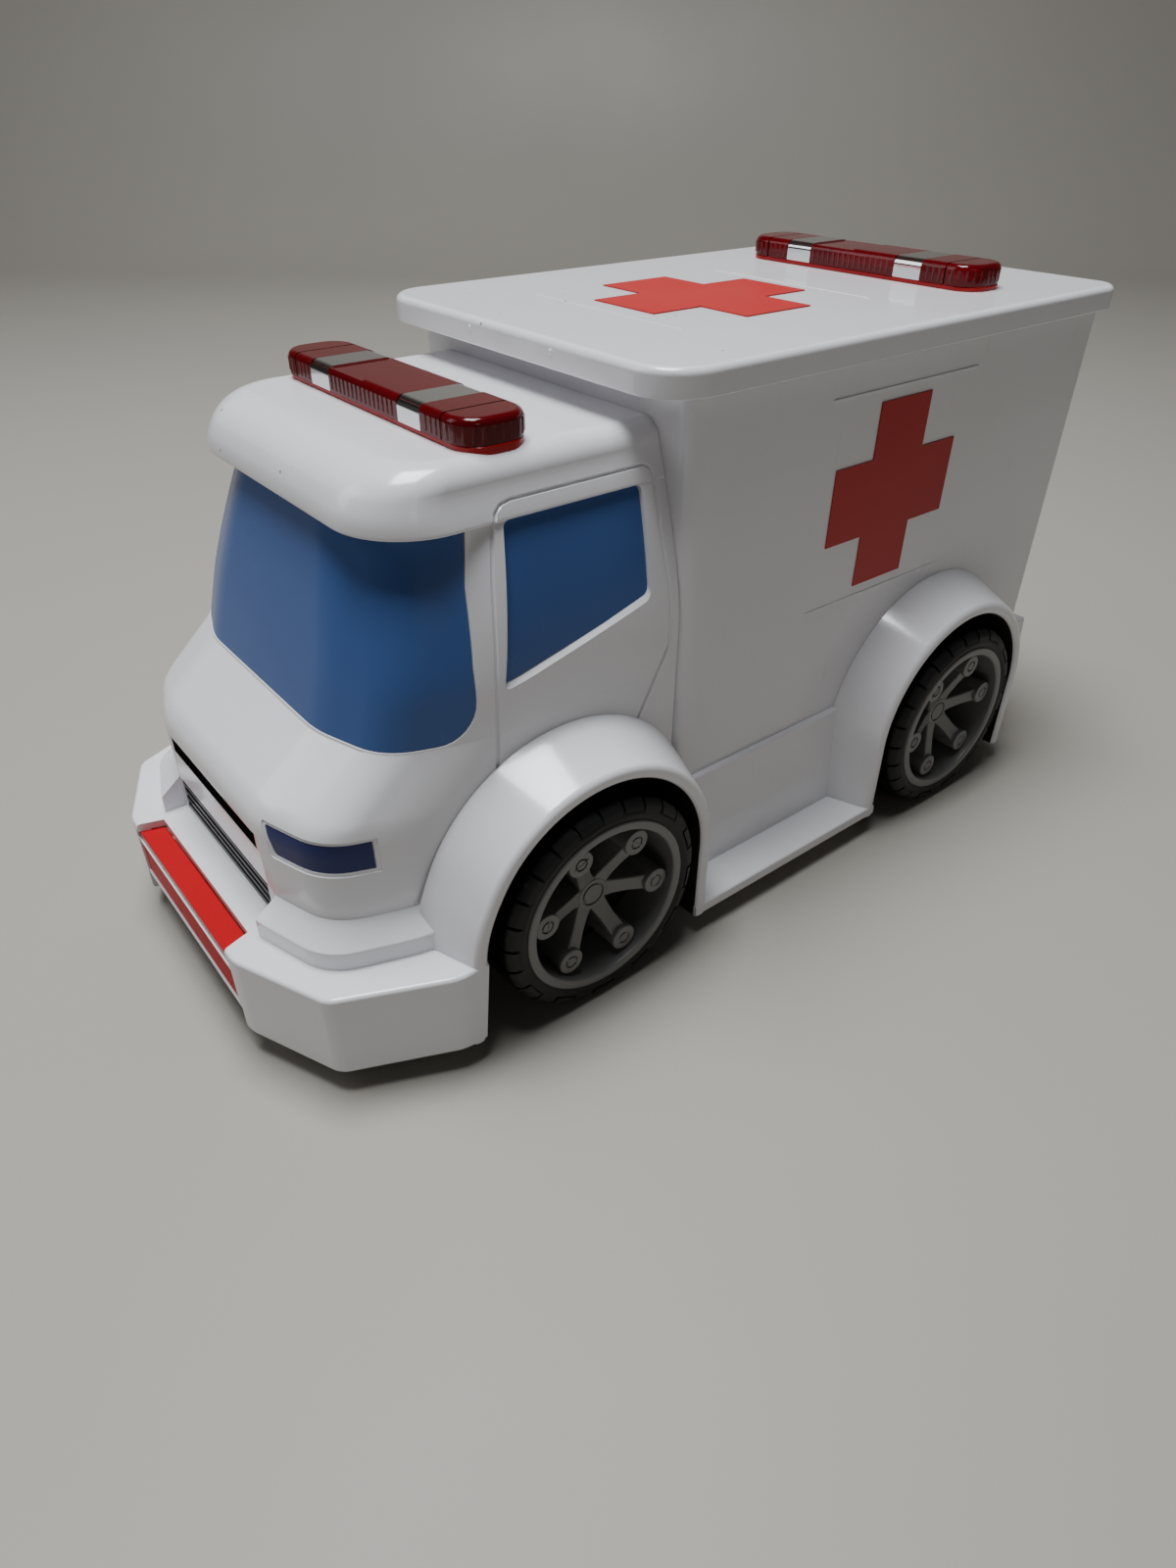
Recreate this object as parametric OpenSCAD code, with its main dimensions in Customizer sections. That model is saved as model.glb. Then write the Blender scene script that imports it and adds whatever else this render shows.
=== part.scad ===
// Toy ambulance: a storage tub with a lift-off lid behind a cab, rolling on two axles.
// Millimetres, +Z up, the front faces -Y. Shapes are drawn from the front axle and then centred.

/* [Overall] */
// Width over the fenders
body_w = 151.5; // [144:0.5:164]
// Distance between the axles
wheelbase = 150; // [140:1:180]
// Front axle to the bumper face
front_overhang = 84.4; // [80:0.1:100]
// Rear axle to the rear wall of the tub
rear_overhang = 61; // [52:0.5:80]
// Height of the skirt above the floor
skirt_z = 7; // [4:0.5:10]
// Wall thickness of the white mouldings
wall = 2.2; // [1.6:0.1:3]

/* [Wheels] */
// Outer diameter of the tyres
tyre_d = 63; // [58:0.5:66]
// Width of the tyres
tyre_w = 24; // [18:0.5:26]
// Diameter of the rim that carries the tyre
rim_d = 51.2; // [46:0.2:53]
// Wall of the rim barrel
rim_wall = 2.8; // [2:0.1:4]
// How far the wheels stand out past the fenders
wheel_proud = 1.7; // [0:0.1:4]
// Diameter of the axle rods
axle_d = 4; // [3:0.1:5]
// Blocks round each shoulder of the tread
lug_count = 26; // [18:1:32]
// Depth of the gaps between the tread blocks
lug_depth = 1.6; // [1:0.1:2.4]
// Width of the gaps between the tread blocks
lug_gap = 1.3; // [0.8:0.1:2]
// Spokes of each hub
spoke_count = 6; // [5:1:8]
// Depth of the hub centre behind the wheel face
hub_recess = 7; // [4:0.5:9]
// Depth of the spoke bosses behind the wheel face
boss_recess = 2; // [1:0.5:4]
// Diameter of the spoke bosses
boss_d = 7.6; // [6:0.2:8.4]
// Diameter of the circle through the spoke bosses
boss_circle_d = 36.4; // [33:0.2:37]
// Depth of the hub disc behind the wheel face
disc_recess = 13.5; // [12:0.5:15]
// Thickness of the hub disc
disc_t = 2.4; // [1.6:0.2:3]
// Diameter of the hub's centre cap
hub_cap_d = 9.6; // [8:0.2:14]
// Width of the spokes
spoke_w = 4.6; // [3.6:0.1:5.6]

/* [Fenders] */
// Gap between the tyre and the arch
arch_gap = 3.1; // [2.5:0.1:5]
// Height of the arch centre above the axle
arch_lift = 1.8; // [0:0.1:3]
// Width of the arch edge seen from the side
fender_wall = 3.6; // [2.4:0.1:5]
// How much wider the fender is where it meets the body
fender_flare = 6.2; // [3:0.1:8]
// Gap between the tyre and the inner wall of the wheel well
well_gap = 3; // [2:0.5:5]

/* [Lower body] */
// Width of the running boards
board_w = 12.7; // [9:0.1:15]
// Thickness of the running boards
board_t = 3.7; // [2.4:0.1:5]
// Height of the ledge that carries the tub and the cab
deck_z = 44; // [41:0.5:48]
// Lean of the rocker walls from bottom to top
rocker_draft = 2; // [0.5:0.1:4]
// Width of the ledge round the tub
ledge = 1.8; // [1:0.1:3]
// Height of the bumper top
bumper_top = 32.5; // [28:0.5:36]
// Width of the flat front of the bumper
bumper_flat_w = 73; // [60:1:84]
// Width over the bumper corners
bumper_corner_w = 126; // [110:1:136]
// Setback of the bumper corners
bumper_corner_back = 11.7; // [8:0.1:16]
// Width of the corner tier on the bumper
tier_w = 6.1; // [4:0.1:7]
// Middle of the car to the inner end of the tier
tier_x = 32.5; // [30:0.5:36]
// Height of the tier's upright face
tier_riser = 5.5; // [3:0.1:7]
// Rise of the tier's sloping top
tier_slope = 4.5; // [2:0.1:6]
// Drop of the upper pad's top below the bumper top
pad_drop = 2.5; // [1.5:0.1:3]
// Setback of the pads from the bumper face
pad_in = 0.5; // [0.2:0.1:1]
// Width of the pads along the front
pad_front_w = 67; // [54:0.5:68]
// Width of the upper pad along its rear edge
pad_rear_w = 59; // [46:0.5:60]
// Depth of the upper pad from front to rear
pad_d = 6.7; // [4:0.1:8]
// Height of the upper pad's front
upper_pad_h = 2.7; // [2:0.1:4]
// White strip between the bumper pads
pad_gap = 1.2; // [1:0.1:3]
// Height of the lower bumper pad
lower_pad_h = 9.2; // [6:0.1:10]
// Thickness of the bumper pads
pad_t = 1.2; // [0.8:0.1:1.6]

/* [Cab] */
// Setback of the fascia from the bumper face
nose_setback = 14.4; // [12:0.1:18]
// Width of the flat part of the nose
face_w = 61; // [60:0.5:68]
// Width over the corners of the nose
edge_w = 101; // [92:1:106]
// Setback of those corners from the flat part
edge_back = 6.5; // [4:0.1:9]
// Setback of the line where the nose meets the cab's sides
side_back = 28; // [24:0.5:33]
// Share of each facet that the rounding of those corners takes
edge_round = 0.3; // [0.15:0.05:0.4]
// How much narrower the cab is than the tub on each side
cab_step = 1; // [0.4:0.1:3]
// Height where the bonnet starts to round over
bonnet_z = 60; // [57:0.5:64]
// Radius of the bonnet's front edge
bonnet_r = 12; // [8:0.5:14]
// Steepest angle of that rounding
bonnet_turn = 52; // [40:1:60]
// Height of the foot of the windscreen
screen_z = 82; // [78:0.5:86]
// Setback of the windscreen foot from the fascia
screen_back = 18.4; // [16:0.1:22]
// Lean of the windscreen over its height
screen_rake = 14; // [8:0.5:18]
// Width of the pillar between the windscreen and the door window
pillar_w = 7; // [5:0.5:9]
// Share of the cabin's height that lies below the shoulder
shoulder_share = 0.34; // [0.2:0.01:0.44]
// Fall of the door window's lower edge to the front, as a share of the cabin's height
sill_fall = 0.19; // [0:0.01:0.24]
// Inward lean of the cabin side from shoulder to roof
tumblehome = 8.6; // [5:0.1:11]
// Drop of the cab roof below the tub rim
roof_drop = 11.6; // [9:0.1:16]
// Height of the roof brow above the windscreen
brow_h = 13; // [10:0.5:16]
// Overhang of the brow past the windscreen
brow_out = 3.4; // [1:0.1:5]
// Side radius of the roof
roof_side_r = 6; // [4:0.5:8]
// Inward lean of the roof's side below that radius
roof_lean = 2.5; // [1:0.1:4]
// Front radius of the roof
roof_front_r = 14; // [9:0.5:16]
// Corner radius of the roof seen from above
roof_r = 19; // [15:0.5:23]
// Width of the grille opening
grille_w = 58; // [48:1:58]
// Height of the grille opening
grille_h = 8; // [6:0.5:9]
// Bars across the grille
grille_bars = 4; // [3:1:5]
// Width of the slot under the bonnet
slot_w = 56; // [44:1:58]
// Height of the slot's lower edge
slot_z = 55; // [52:0.5:58]
// Height of the slot
slot_h = 3.4; // [2:0.1:4]

/* [Tub] */
// Front axle to the front wall of the tub
tub_gap = 37.5; // [36:0.5:44]
// Height of the tub rim
tub_top = 153.6; // [146:0.1:175]
// Outer corner radius of the tub
tub_r = 5; // [3:0.5:8]

/* [Lid] */
// Overhang of the lid on the sides
lid_side = 3.4; // [2.6:0.1:5]
// Overhang of the lid at the front
lid_front = 10.9; // [5:0.1:14]
// Overhang of the lid at the rear
lid_rear = 3.1; // [2.6:0.1:5]
// Height of the lid's rim
lid_h = 6.8; // [5:0.1:9]
// Thickness of the lid's top
lid_t = 2.4; // [1.8:0.1:3]
// Corner radius of the lid
lid_r = 13; // [8:0.5:18]
// Depth of the locating lip inside the tub
lip_h = 5; // [3:0.5:8]
// Thickness of the locating lip
lip_t = 1.6; // [1.2:0.1:2.4]
// Clearance between the lip and the tub
lip_gap = 0.4; // [0.3:0.1:0.8]

/* [Light bars] */
// Length of a light bar
bar_l = 89; // [76:0.5:92]
// Depth of a light bar
bar_d = 18.5; // [14:0.5:22]
// Height of a light bar
bar_h = 7; // [5:0.1:9]
// Corner radius of a light bar
bar_r = 7; // [4:0.5:7]
// Width of a chrome band
band_w = 9.7; // [6:0.1:12]
// Middle of the bar to the middle of a band
band_x = 21.5; // [18:0.5:26]
// Thickness of a chrome band
band_t = 0.6; // [0.4:0.1:1]
// Thickness of the bar's base
base_t = 1.2; // [0.8:0.1:2]
// How far the base shows round the lens
base_lip = 0.4; // [0.2:0.1:1.2]
// Diameter of the pegs under a bar
peg_d = 4; // [3:0.1:5]
// Middle of the bar to a peg
peg_x = 30; // [26:0.5:34]
// Front axle back to the middle of the front bar
front_bar_y = -4.8; // [-8:0.1:6]
// Rear axle back to the middle of the rear bar
rear_bar_back = 19; // [10:0.5:30]

/* [Stickers] */
// Thickness of the stickers
sticker_t = 0.3; // [0.2:0.05:0.5]
// Length of the side crosses
side_cross_l = 52; // [40:0.5:60]
// Arm width of the side crosses
side_cross_w = 21.6; // [14:0.2:26]
// Height of the side crosses' middle, as a share of the way from the tub's floor to its rim
side_cross_rise = 0.491; // [0.44:0.001:0.56]
// Middle of the wheelbase back to the side crosses
side_cross_back = 41.8; // [30:0.1:52]
// Length of the lid cross
lid_cross_l = 59; // [44:0.5:66]
// Arm width of the lid cross
lid_cross_w = 24.8; // [16:0.2:30]
// Front edge of the lid back to the middle of its cross
lid_cross_back = 69; // [50:0.5:76]
// Height of the headlights' lower edge
lamp_z = 58.4; // [54:0.2:60]
// Height of the headlights
lamp_h = 6.6; // [5:0.2:9]
// Middle of the car to the inner end of a headlight's top edge
lamp_x = 33.5; // [31:0.5:38]
// Slant of that inner end
lamp_slant = 3; // [0:0.5:5]
// Setback of the headlights' rear end from the fascia
lamp_back = 18.5; // [14:0.5:22]

/* [Base] */
// Thickness of the base plate
plate_t = 2.5; // [2:0.1:3]
// Recess of the base plate above the skirt
plate_up = 0.8; // [0.4:0.1:2]
// Edge of the base plate to the middle of an axle block
block_in = 15.25; // [11.25:0.25:23.25]
// Length of an axle block along the axle
block_l = 9; // [6:0.5:12]
// Radius of an axle block round the axle
block_r = 6.5; // [5:0.1:8]
// Edge of the base plate to a screw
screw_in = 9.25; // [7.25:0.25:13.25]
// Shank diameter of the screws
screw_d = 2.6; // [2:0.1:3]
// Head diameter of the screws
head_d = 5.2; // [4.4:0.1:6]
// Outer diameter of the screw bosses
post_d = 8; // [6.5:0.1:9]

/* [Hidden] */
// Radial clearances: running bores, pressed seats and loose fits
run_gap = 0.05;
seat_gap = 0.02;
fit_gap = 0.2;
// Gap under a sticker, and between stacked mouldings
skin_gap = 0.05;
stack_gap = 0.1;
// Extra length of cutting shapes, and thickness of the slices that are joined
cut = 1;
slice = 0.02;
round_steps = 5;
// Shares of an offset at the plan's shallow and sharp corners
mitre_in = 0.15;
mitre_out = 0.8;
fine = 96;
slice_fn = 32;

body_half = body_w / 2;
axle_z = tyre_d / 2;
arch_z = axle_z + arch_lift;
arch_in_r = tyre_d / 2 + arch_gap;
arch_out_r = arch_in_r + fender_wall;
flare_r = arch_out_r + fender_flare;
wheel_face = body_half + wheel_proud;
well_in = wheel_face - tyre_w - well_gap;
well_out_r = arch_in_r + wall;
rocker_low = body_half - board_w;
rocker_top = rocker_low - rocker_draft;
tub_half = rocker_top - ledge;
cab_half = tub_half - cab_step;
tub_rear = wheelbase + rear_overhang;
tub_l = tub_rear - tub_gap;
tub_floor = arch_z + well_out_r + 2 * fit_gap;
core_front = -flare_r;
core_rear = tub_rear + ledge;
bumper_y = -front_overhang;
mid_y = (tub_rear + lid_rear - front_overhang) / 2;

nose_front = bumper_y + nose_setback;
cab_rear = tub_gap - stack_gap;
roof_z = tub_top - roof_drop;
brow_z = roof_z - brow_h;
screen_front = nose_front + screen_back;
roof_half = cab_half - tumblehome + fit_gap;
roof_front = screen_front + screen_rake - brow_out;
grille_z = bumper_top + cut;
shoulder_z = screen_z + shoulder_share * (brow_z - screen_z);
cheek_z = (shoulder_z + brow_z) / 2;

lid_top = tub_top + stack_gap + lid_t;
lid_w = 2 * (tub_half + lid_side);
lid_y = tub_gap - lid_front;
lid_l = tub_l + lid_front + lid_rear;
rear_bar_y = wheelbase + rear_bar_back;
cross_z = tub_floor + side_cross_rise * (tub_top - tub_floor);

plate_z = skirt_z + plate_up;
plate_top = plate_z + plate_t;
plate_half = well_in - wall - cut;
block_x = plate_half - block_in;
screw_x = plate_half - screw_in;
screw_ys = [core_front - post_d, wheelbase / 2, tub_rear - wall - post_d];
pad_top = bumper_top - pad_drop;
upper_pad_z = pad_top - upper_pad_h;
lower_pad_z = upper_pad_z - pad_gap - lower_pad_h;
pad_half = pad_front_w / 2;

white = [0.94, 0.94, 0.96];
cross_red = [0.78, 0.1, 0.12];
lens_red = [0.45, 0.03, 0.06];
window_blue = [0.2, 0.36, 0.68];
lamp_blue = [0.1, 0.12, 0.4];
rubber_black = [0.07, 0.07, 0.08];
trim_black = [0.04, 0.04, 0.05];
hub_grey = [0.36, 0.36, 0.38];
steel = [0.7, 0.71, 0.73];
chrome = [0.88, 0.88, 0.9];

// Centres the car on its length
module centred() {
    translate([0, -mid_y, 0]) children();
}

// Rectangle with round corners, centred on X, from y = 0
module round_rect(w, l, r) {
    translate([-w / 2, r]) square([w, l - 2 * r]);
    translate([-w / 2 + r, 0]) square([w - 2 * r, l]);
    for (x = [-w / 2 + r, w / 2 - r], y = [r, l - r])
        translate([x, y]) circle(r = r, $fn = fine);
}

// Drum along X from x0 to x1, with a radius at each end
module drum(x0, x1, y, z, r0, r1) {
    translate([x0, y, z]) rotate([0, 90, 0]) cylinder(h = x1 - x0, r1 = r0, r2 = r1, $fn = fine);
}

// Extrudes an outline drawn in Y and Z along X
module along_x(x0, x1) {
    translate([x0, 0, 0]) rotate([90, 0, 90]) linear_extrude(x1 - x0) children();
}

// Wheel well: an arch over straight legs, on the left side
module well(x0, x1, y, r, low) {
    along_x(x0, x1) intersection() {
        union() {
            translate([y, arch_z]) circle(r = r, $fn = fine);
            translate([y - r, low]) square([2 * r, arch_z - low]);
        }
        translate([y - r, low]) square([2 * r, arch_z - low + r]);
    }
}

// Both sides of a shape drawn on the left
module both_sides() {
    children();
    mirror([1, 0, 0]) children();
}

// Flared fender round a wheel, still solid, from the body side outwards
module fender(y, inner) {
    translate([0, y, arch_z]) rotate([0, 90, 0]) rotate([0, 0, 90]) rotate_extrude(angle = 180, $fn = fine)
        polygon([[0, inner], [flare_r, inner], [arch_out_r, body_half], [0, body_half]]);
    translate([0, 0, skirt_z]) linear_extrude(arch_z - skirt_z)
        polygon([
            [inner, y - flare_r], [body_half, y - arch_out_r],
            [body_half, y + arch_out_r], [inner, y + flare_r]
        ]);
}

// Bumper outline, moved inwards by an inset
module bumper_plan(inset) {
    front = bumper_y + inset;
    flat = bumper_flat_w / 2 - inset / 2;
    corner = bumper_corner_w / 2 - inset;
    side = body_half - inset;
    corner_back = bumper_y + bumper_corner_back + inset / 2;
    polygon([
        [-flat, front], [flat, front], [corner, corner_back], [side, core_front],
        [side, -arch_in_r], [-side, -arch_in_r], [-side, core_front], [-corner, corner_back]
    ]);
}

// Cross-section of the rocker walls and the deck, moved inwards by an inset
module rocker_section(inset, low) {
    polygon([
        [-rocker_low + inset, low], [rocker_low - inset, low],
        [rocker_top - inset, deck_z - inset], [-rocker_top + inset, deck_z - inset]
    ]);
}

// Extrudes a section drawn in X and Z along Y
module along_y(y0, y1) {
    translate([0, y1, 0]) rotate([90, 0, 0]) linear_extrude(y1 - y0) children();
}

// Half of the cab's plan, front to rear: flat face, facet, round corner, second facet, side
function half_plan(half, front, grow) = let(
    taper = half / cab_half,
    face = [face_w / 2 * taper * taper + grow * mitre_in, front - grow],
    edge = [edge_w / 2 * taper * taper + grow * mitre_out, front + edge_back * taper - grow * mitre_out],
    side = [half + grow, front + side_back * taper - grow * mitre_in],
    before = edge + (face - edge) * edge_round,
    after = edge + (side - edge) * edge_round
) [face, before, (before + 2 * edge + after) / 4, after, side, [half + grow, cab_rear]];

// The whole plan of the cab, grown outwards by an amount
function cab_plan(half, front, grow) = let(left = half_plan(half, front, grow))
    concat(left, [for (i = [len(left) - 1 : -1 : 0]) [-left[i][0], left[i][1]]]);

// Solid through a stack of plans: each level is a height and its plan
module loft(levels) {
    n = len(levels[0][1]);
    last = n * (len(levels) - 1);
    polyhedron(
        points = [for (v = levels, p = v[1]) [p[0], p[1], v[0]]],
        faces = concat(
            [[for (i = [0 : n - 1]) i]],
            [for (k = [0 : n : last - n], i = [0 : n - 1]) [k + i, k + n + i, k + n + (i + 1) % n]],
            [for (k = [0 : n : last - n], i = [0 : n - 1]) [k + i, k + n + (i + 1) % n, k + (i + 1) % n]],
            [[for (i = [n - 1 : -1 : 0]) last + i]]
        )
    );
}

// Stepped tier wrapped round the left nose corner
module tier() {
    low = bumper_top - wall / 2;
    riser_z = bumper_top + tier_riser;
    over = wall / 2;
    intersection() {
        difference() {
            loft([
                [low, cab_plan(cab_half, nose_front, tier_w)],
                [riser_z, cab_plan(cab_half, nose_front, tier_w)],
                [riser_z + tier_slope * (1 + over / tier_w), cab_plan(cab_half, nose_front, -over)]
            ]);
            translate([0, 0, low - cut])
                linear_extrude(deck_z) polygon(cab_plan(cab_half, nose_front, skin_gap));
        }
        translate([tier_x, bumper_y, 0]) cube([body_half - tier_x, -arch_out_r - bumper_y, 2 * deck_z]);
    }
}

module screw_post(x, y) {
    top = y < core_front ? bumper_top - wall / 2 : deck_z - wall / 2;
    translate([x, y, plate_top]) cylinder(h = top - plate_top, d = post_d, $fn = fine);
}

// Plan of the upper pad, drawn in by an inset at its ends and rear, and led forward where it is a recess
module pad_plan(lead, inset) {
    face = bumper_y + pad_in;
    half = pad_half - inset;
    rear_half = pad_rear_w / 2 - inset;
    rear = face + pad_d - inset;
    front = lead > 0 ? [[-half, face - lead], [half, face - lead]] : [];
    polygon(concat([[-half, face]], front, [[half, face], [rear_half, rear], [-rear_half, rear]]));
}

// Recess of the bumper pads: open on top and at the front
module pad_recess() {
    lead = cut + pad_in;
    translate([0, 0, pad_top - pad_t]) linear_extrude(pad_drop + pad_t + cut) pad_plan(lead, 0);
    for (strip = [[upper_pad_z, upper_pad_h], [lower_pad_z, lower_pad_h]])
        translate([-pad_half, bumper_y - cut, strip[0]]) cube([2 * pad_half, lead + pad_t, strip[1]]);
}

module lower_body() {
    color(white) centred() difference() {
        union() {
            difference() {
                union() {
                    along_y(core_front, core_rear) rocker_section(0, skirt_z);
                    translate([0, 0, skirt_z]) linear_extrude(bumper_top - skirt_z) bumper_plan(0);
                    translate([-body_half, 0, skirt_z]) cube([body_w, wheelbase, board_t]);
                }
                along_y(core_front + wall, core_rear - wall) rocker_section(wall, skirt_z - cut);
                translate([0, 0, skirt_z - cut])
                    linear_extrude(bumper_top - wall - skirt_z + cut) bumper_plan(2 * wall);
            }
            both_sides() {
                fender(0, cab_half + stack_gap);
                fender(wheelbase, tub_half + stack_gap);
                tier();
                for (y = [0, wheelbase])
                    well(well_in - wall, cab_half + ledge, y, well_out_r, skirt_z);
                for (y = screw_ys)
                    screw_post(screw_x, y);
            }
        }
        both_sides() {
            for (y = [0, wheelbase]) {
                well(well_in, body_half + cut, y, arch_in_r, 0);
                drum(well_in - 2 * wall, well_in + cut, y, axle_z, axle_d, axle_d);
                translate([well_in - 2 * wall, y - axle_d, 0]) cube([3 * wall, 2 * axle_d, axle_z]);
            }
            for (y = screw_ys)
                translate([screw_x, y, 0])
                    cylinder(h = bumper_top - 2 * wall, d = screw_d + fit_gap, $fn = fine);
        }
        pad_recess();
        translate([-tub_half - stack_gap, tub_gap - stack_gap, deck_z])
            cube([2 * (tub_half + stack_gap), flare_r, flare_r]);
    }
}

// Slice of the roof at one height: round front corners, square rear
module roof_slice(z, half, front, r) {
    for (x = [-half + r, half - r])
        translate([x, front + r, z]) cylinder(h = slice, r = r, $fn = slice_fn);
    translate([-half, front + r, z]) cube([2 * half, cab_rear - front - r, slice]);
}

// Nose and doors up to the foot of the windscreen, moved inwards by an inset
module nose(inset) {
    turn_z = bonnet_z + bonnet_r * sin(bonnet_turn);
    turn_back = bonnet_r * (1 - cos(bonnet_turn));
    end_z = turn_z + (screen_back - turn_back) / tan(bonnet_turn);
    turns = [for (i = [0 : round_steps]) bonnet_turn * i / round_steps];
    loft(concat(
        [[bumper_top - inset, cab_plan(cab_half, nose_front, -inset)]],
        [for (a = turns) [
            bonnet_z - inset + bonnet_r * sin(a),
            cab_plan(cab_half, nose_front + bonnet_r * (1 - cos(a)), -inset)
        ]],
        [[end_z - inset, cab_plan(cab_half, screen_front, -inset)]]
    ));
}

function screen_y(z) = screen_front + (z - screen_z) * screen_rake / (brow_z - screen_z);

// Cabin between the windscreen foot and the roof, grown outwards by an amount
module cabin(grow) {
    levels = [
        [bonnet_z + bonnet_r, cab_half], [shoulder_z, cab_half],
        [cheek_z, cab_half - tumblehome / 3], [brow_z + wall, cab_half - tumblehome]
    ];
    loft([for (v = levels) [v[0], cab_plan(v[1], screen_y(v[0]), grow)]]);
}

// Setback of the roof's front at a height, on its bulging brow
function brow_back(z) = roof_front_r * (1 - sqrt(max(0, 1 - pow((z - brow_z) / brow_h, 2))));

// Roof with its brow, leaning in at the sides and rounded at the edges, grown by an amount
module roof(grow) {
    lean_z = roof_z - roof_side_r;
    hull() {
        for (z = [brow_z, (brow_z + lean_z) / 2]) {
            inset = roof_lean * (z - brow_z) / (lean_z - brow_z) - grow;
            roof_slice(z, roof_half - inset, roof_front + brow_back(z) - grow, roof_r - inset);
        }
        for (i = [0 : round_steps]) {
            a = 90 * i / round_steps;
            z = lean_z + (roof_side_r - slice) * sin(a);
            inset = roof_lean + roof_side_r * (1 - cos(a)) - grow;
            roof_slice(z + grow, roof_half - inset, roof_front + brow_back(z) - grow, roof_r - inset);
        }
    }
}

// Room inside the cabin and the roof
module cabin_room() {
    hull() {
        cabin(-wall);
        roof_slice(roof_z - wall, roof_half - roof_lean - roof_side_r,
            roof_front + roof_front_r, roof_r / 2);
    }
}

module cab_shell() {
    color(white) centred() difference() {
        union() {
            nose(0);
            cabin(0);
            roof(0);
        }
        intersection() {
            union() {
                nose(wall);
                cabin_room();
            }
            translate([-body_half, bumper_y, 0]) cube([body_w, cab_rear - wall - bumper_y, tub_top]);
        }
        translate([-body_half, core_front - stack_gap, 0])
            cube([body_w, cab_rear - core_front + cut, deck_z + skin_gap]);
        both_sides()
            well(well_in - wall - fit_gap, body_half, 0, well_out_r + fit_gap, skirt_z);
        translate([-grille_w / 2, nose_front - cut, grille_z]) cube([grille_w, wall + 2 * cut, grille_h]);
        translate([-slot_w / 2, nose_front - cut, slot_z]) cube([slot_w, wall + 2 * cut, slot_h]);
        for (x = [-peg_x, peg_x])
            translate([x, front_bar_y, roof_z - 2 * wall])
                cylinder(h = 3 * wall, d = peg_d + fit_gap, $fn = fine);
    }
}

module box_tub() {
    color(white) centred() difference() {
        translate([0, tub_gap, deck_z + skin_gap])
            linear_extrude(tub_top - deck_z - skin_gap) round_rect(2 * tub_half, tub_l, tub_r);
        translate([0, tub_gap + wall, tub_floor + wall])
            linear_extrude(tub_top) round_rect(2 * (tub_half - wall), tub_l - 2 * wall, tub_r - wall / 2);
        translate([0, tub_gap + wall, 0])
            linear_extrude(tub_floor) round_rect(2 * (tub_half - wall), tub_l - 2 * wall, tub_r - wall / 2);
        both_sides()
            well(well_in - wall - fit_gap, body_half, wheelbase, well_out_r + fit_gap, skirt_z);
    }
}

module base_plate() {
    plate_y = core_front - 2 * post_d;
    plate_l = tub_rear - wall - cut - plate_y;
    color(white) centred() difference() {
        union() {
            translate([0, plate_y, plate_z])
                linear_extrude(plate_t) round_rect(2 * plate_half, plate_l, tub_r);
            for (x = [-block_x, block_x], y = [0, wheelbase]) {
                drum(x - block_l / 2, x + block_l / 2, y, axle_z, block_r, block_r);
                translate([x - block_l / 2, y - block_r, plate_top - slice])
                    cube([block_l, 2 * block_r, axle_z - plate_top + slice]);
            }
        }
        for (y = [0, wheelbase])
            drum(-body_half, body_half, y, axle_z, axle_d / 2 + run_gap, axle_d / 2 + run_gap);
        for (x = [-screw_x, screw_x], y = screw_ys) {
            translate([x, y, plate_z - cut])
                cylinder(h = plate_t + 2 * cut, d = screw_d + fit_gap, $fn = fine);
            translate([x, y, plate_z - cut])
                cylinder(h = cut + plate_t / 2, d = head_d + fit_gap, $fn = fine);
        }
    }
}

module base_screws() {
    color(steel) centred()
        for (x = [-screw_x, screw_x], y = screw_ys) {
            translate([x, y, plate_z]) cylinder(h = plate_t / 2, d = head_d, $fn = fine);
            translate([x, y, plate_z]) cylinder(h = plate_t + post_d, d = screw_d, $fn = fine);
        }
}

module grille() {
    bar_pitch = grille_h / grille_bars;
    bar_face = nose_front + wall / 3;
    plate_y = nose_front + wall + fit_gap;
    plate_half_w = face_w / 2 - cut;
    color(trim_black) centred() {
        translate([-plate_half_w, plate_y, grille_z - cut / 2])
            cube([2 * plate_half_w, wall / 2, slot_z + slot_h + cut - grille_z]);
        for (i = [0 : grille_bars - 1])
            translate([-grille_w / 2 + fit_gap, bar_face, grille_z + bar_pitch * (i + 1 / 5)])
                cube([grille_w - 2 * fit_gap, plate_y - bar_face + slice, bar_pitch * 3 / 5]);
    }
}

module upper_bumper_pad() {
    face = bumper_y + pad_in;
    low = pad_top - pad_t + skin_gap;
    color(cross_red) centred() {
        translate([0, 0, low]) linear_extrude(pad_top - low) pad_plan(0, skin_gap);
        translate([-pad_half + skin_gap, face, upper_pad_z + skin_gap])
            cube([2 * (pad_half - skin_gap), pad_t - skin_gap, low + slice - upper_pad_z - skin_gap]);
    }
}

module lower_bumper_pad() {
    color(cross_red) centred()
        translate([-pad_half + skin_gap, bumper_y + pad_in, lower_pad_z + skin_gap])
            cube([2 * (pad_half - skin_gap), pad_t - skin_gap, lower_pad_h - 2 * skin_gap]);
}

// Skin on the cabin, a sticker thick
module cabin_skin() {
    difference() {
        cabin(skin_gap + sticker_t);
        cabin(skin_gap);
    }
}

// Side view of the windscreen: its rear edge follows the pillar, its lower rear corner is round
module windscreen_outline() {
    low = screen_z + cut;
    top = brow_z - skin_gap;
    rear_low = screen_front + side_back;
    rear_top = rear_low + screen_rake / 2 - cut;
    r = side_back / 3;
    polygon([
        [nose_front, low], [rear_low - r, low], [rear_low, low + r],
        [rear_top, top], [nose_front, top]
    ]);
    translate([rear_low - r, low + r]) circle(r = r, $fn = fine);
}

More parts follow.
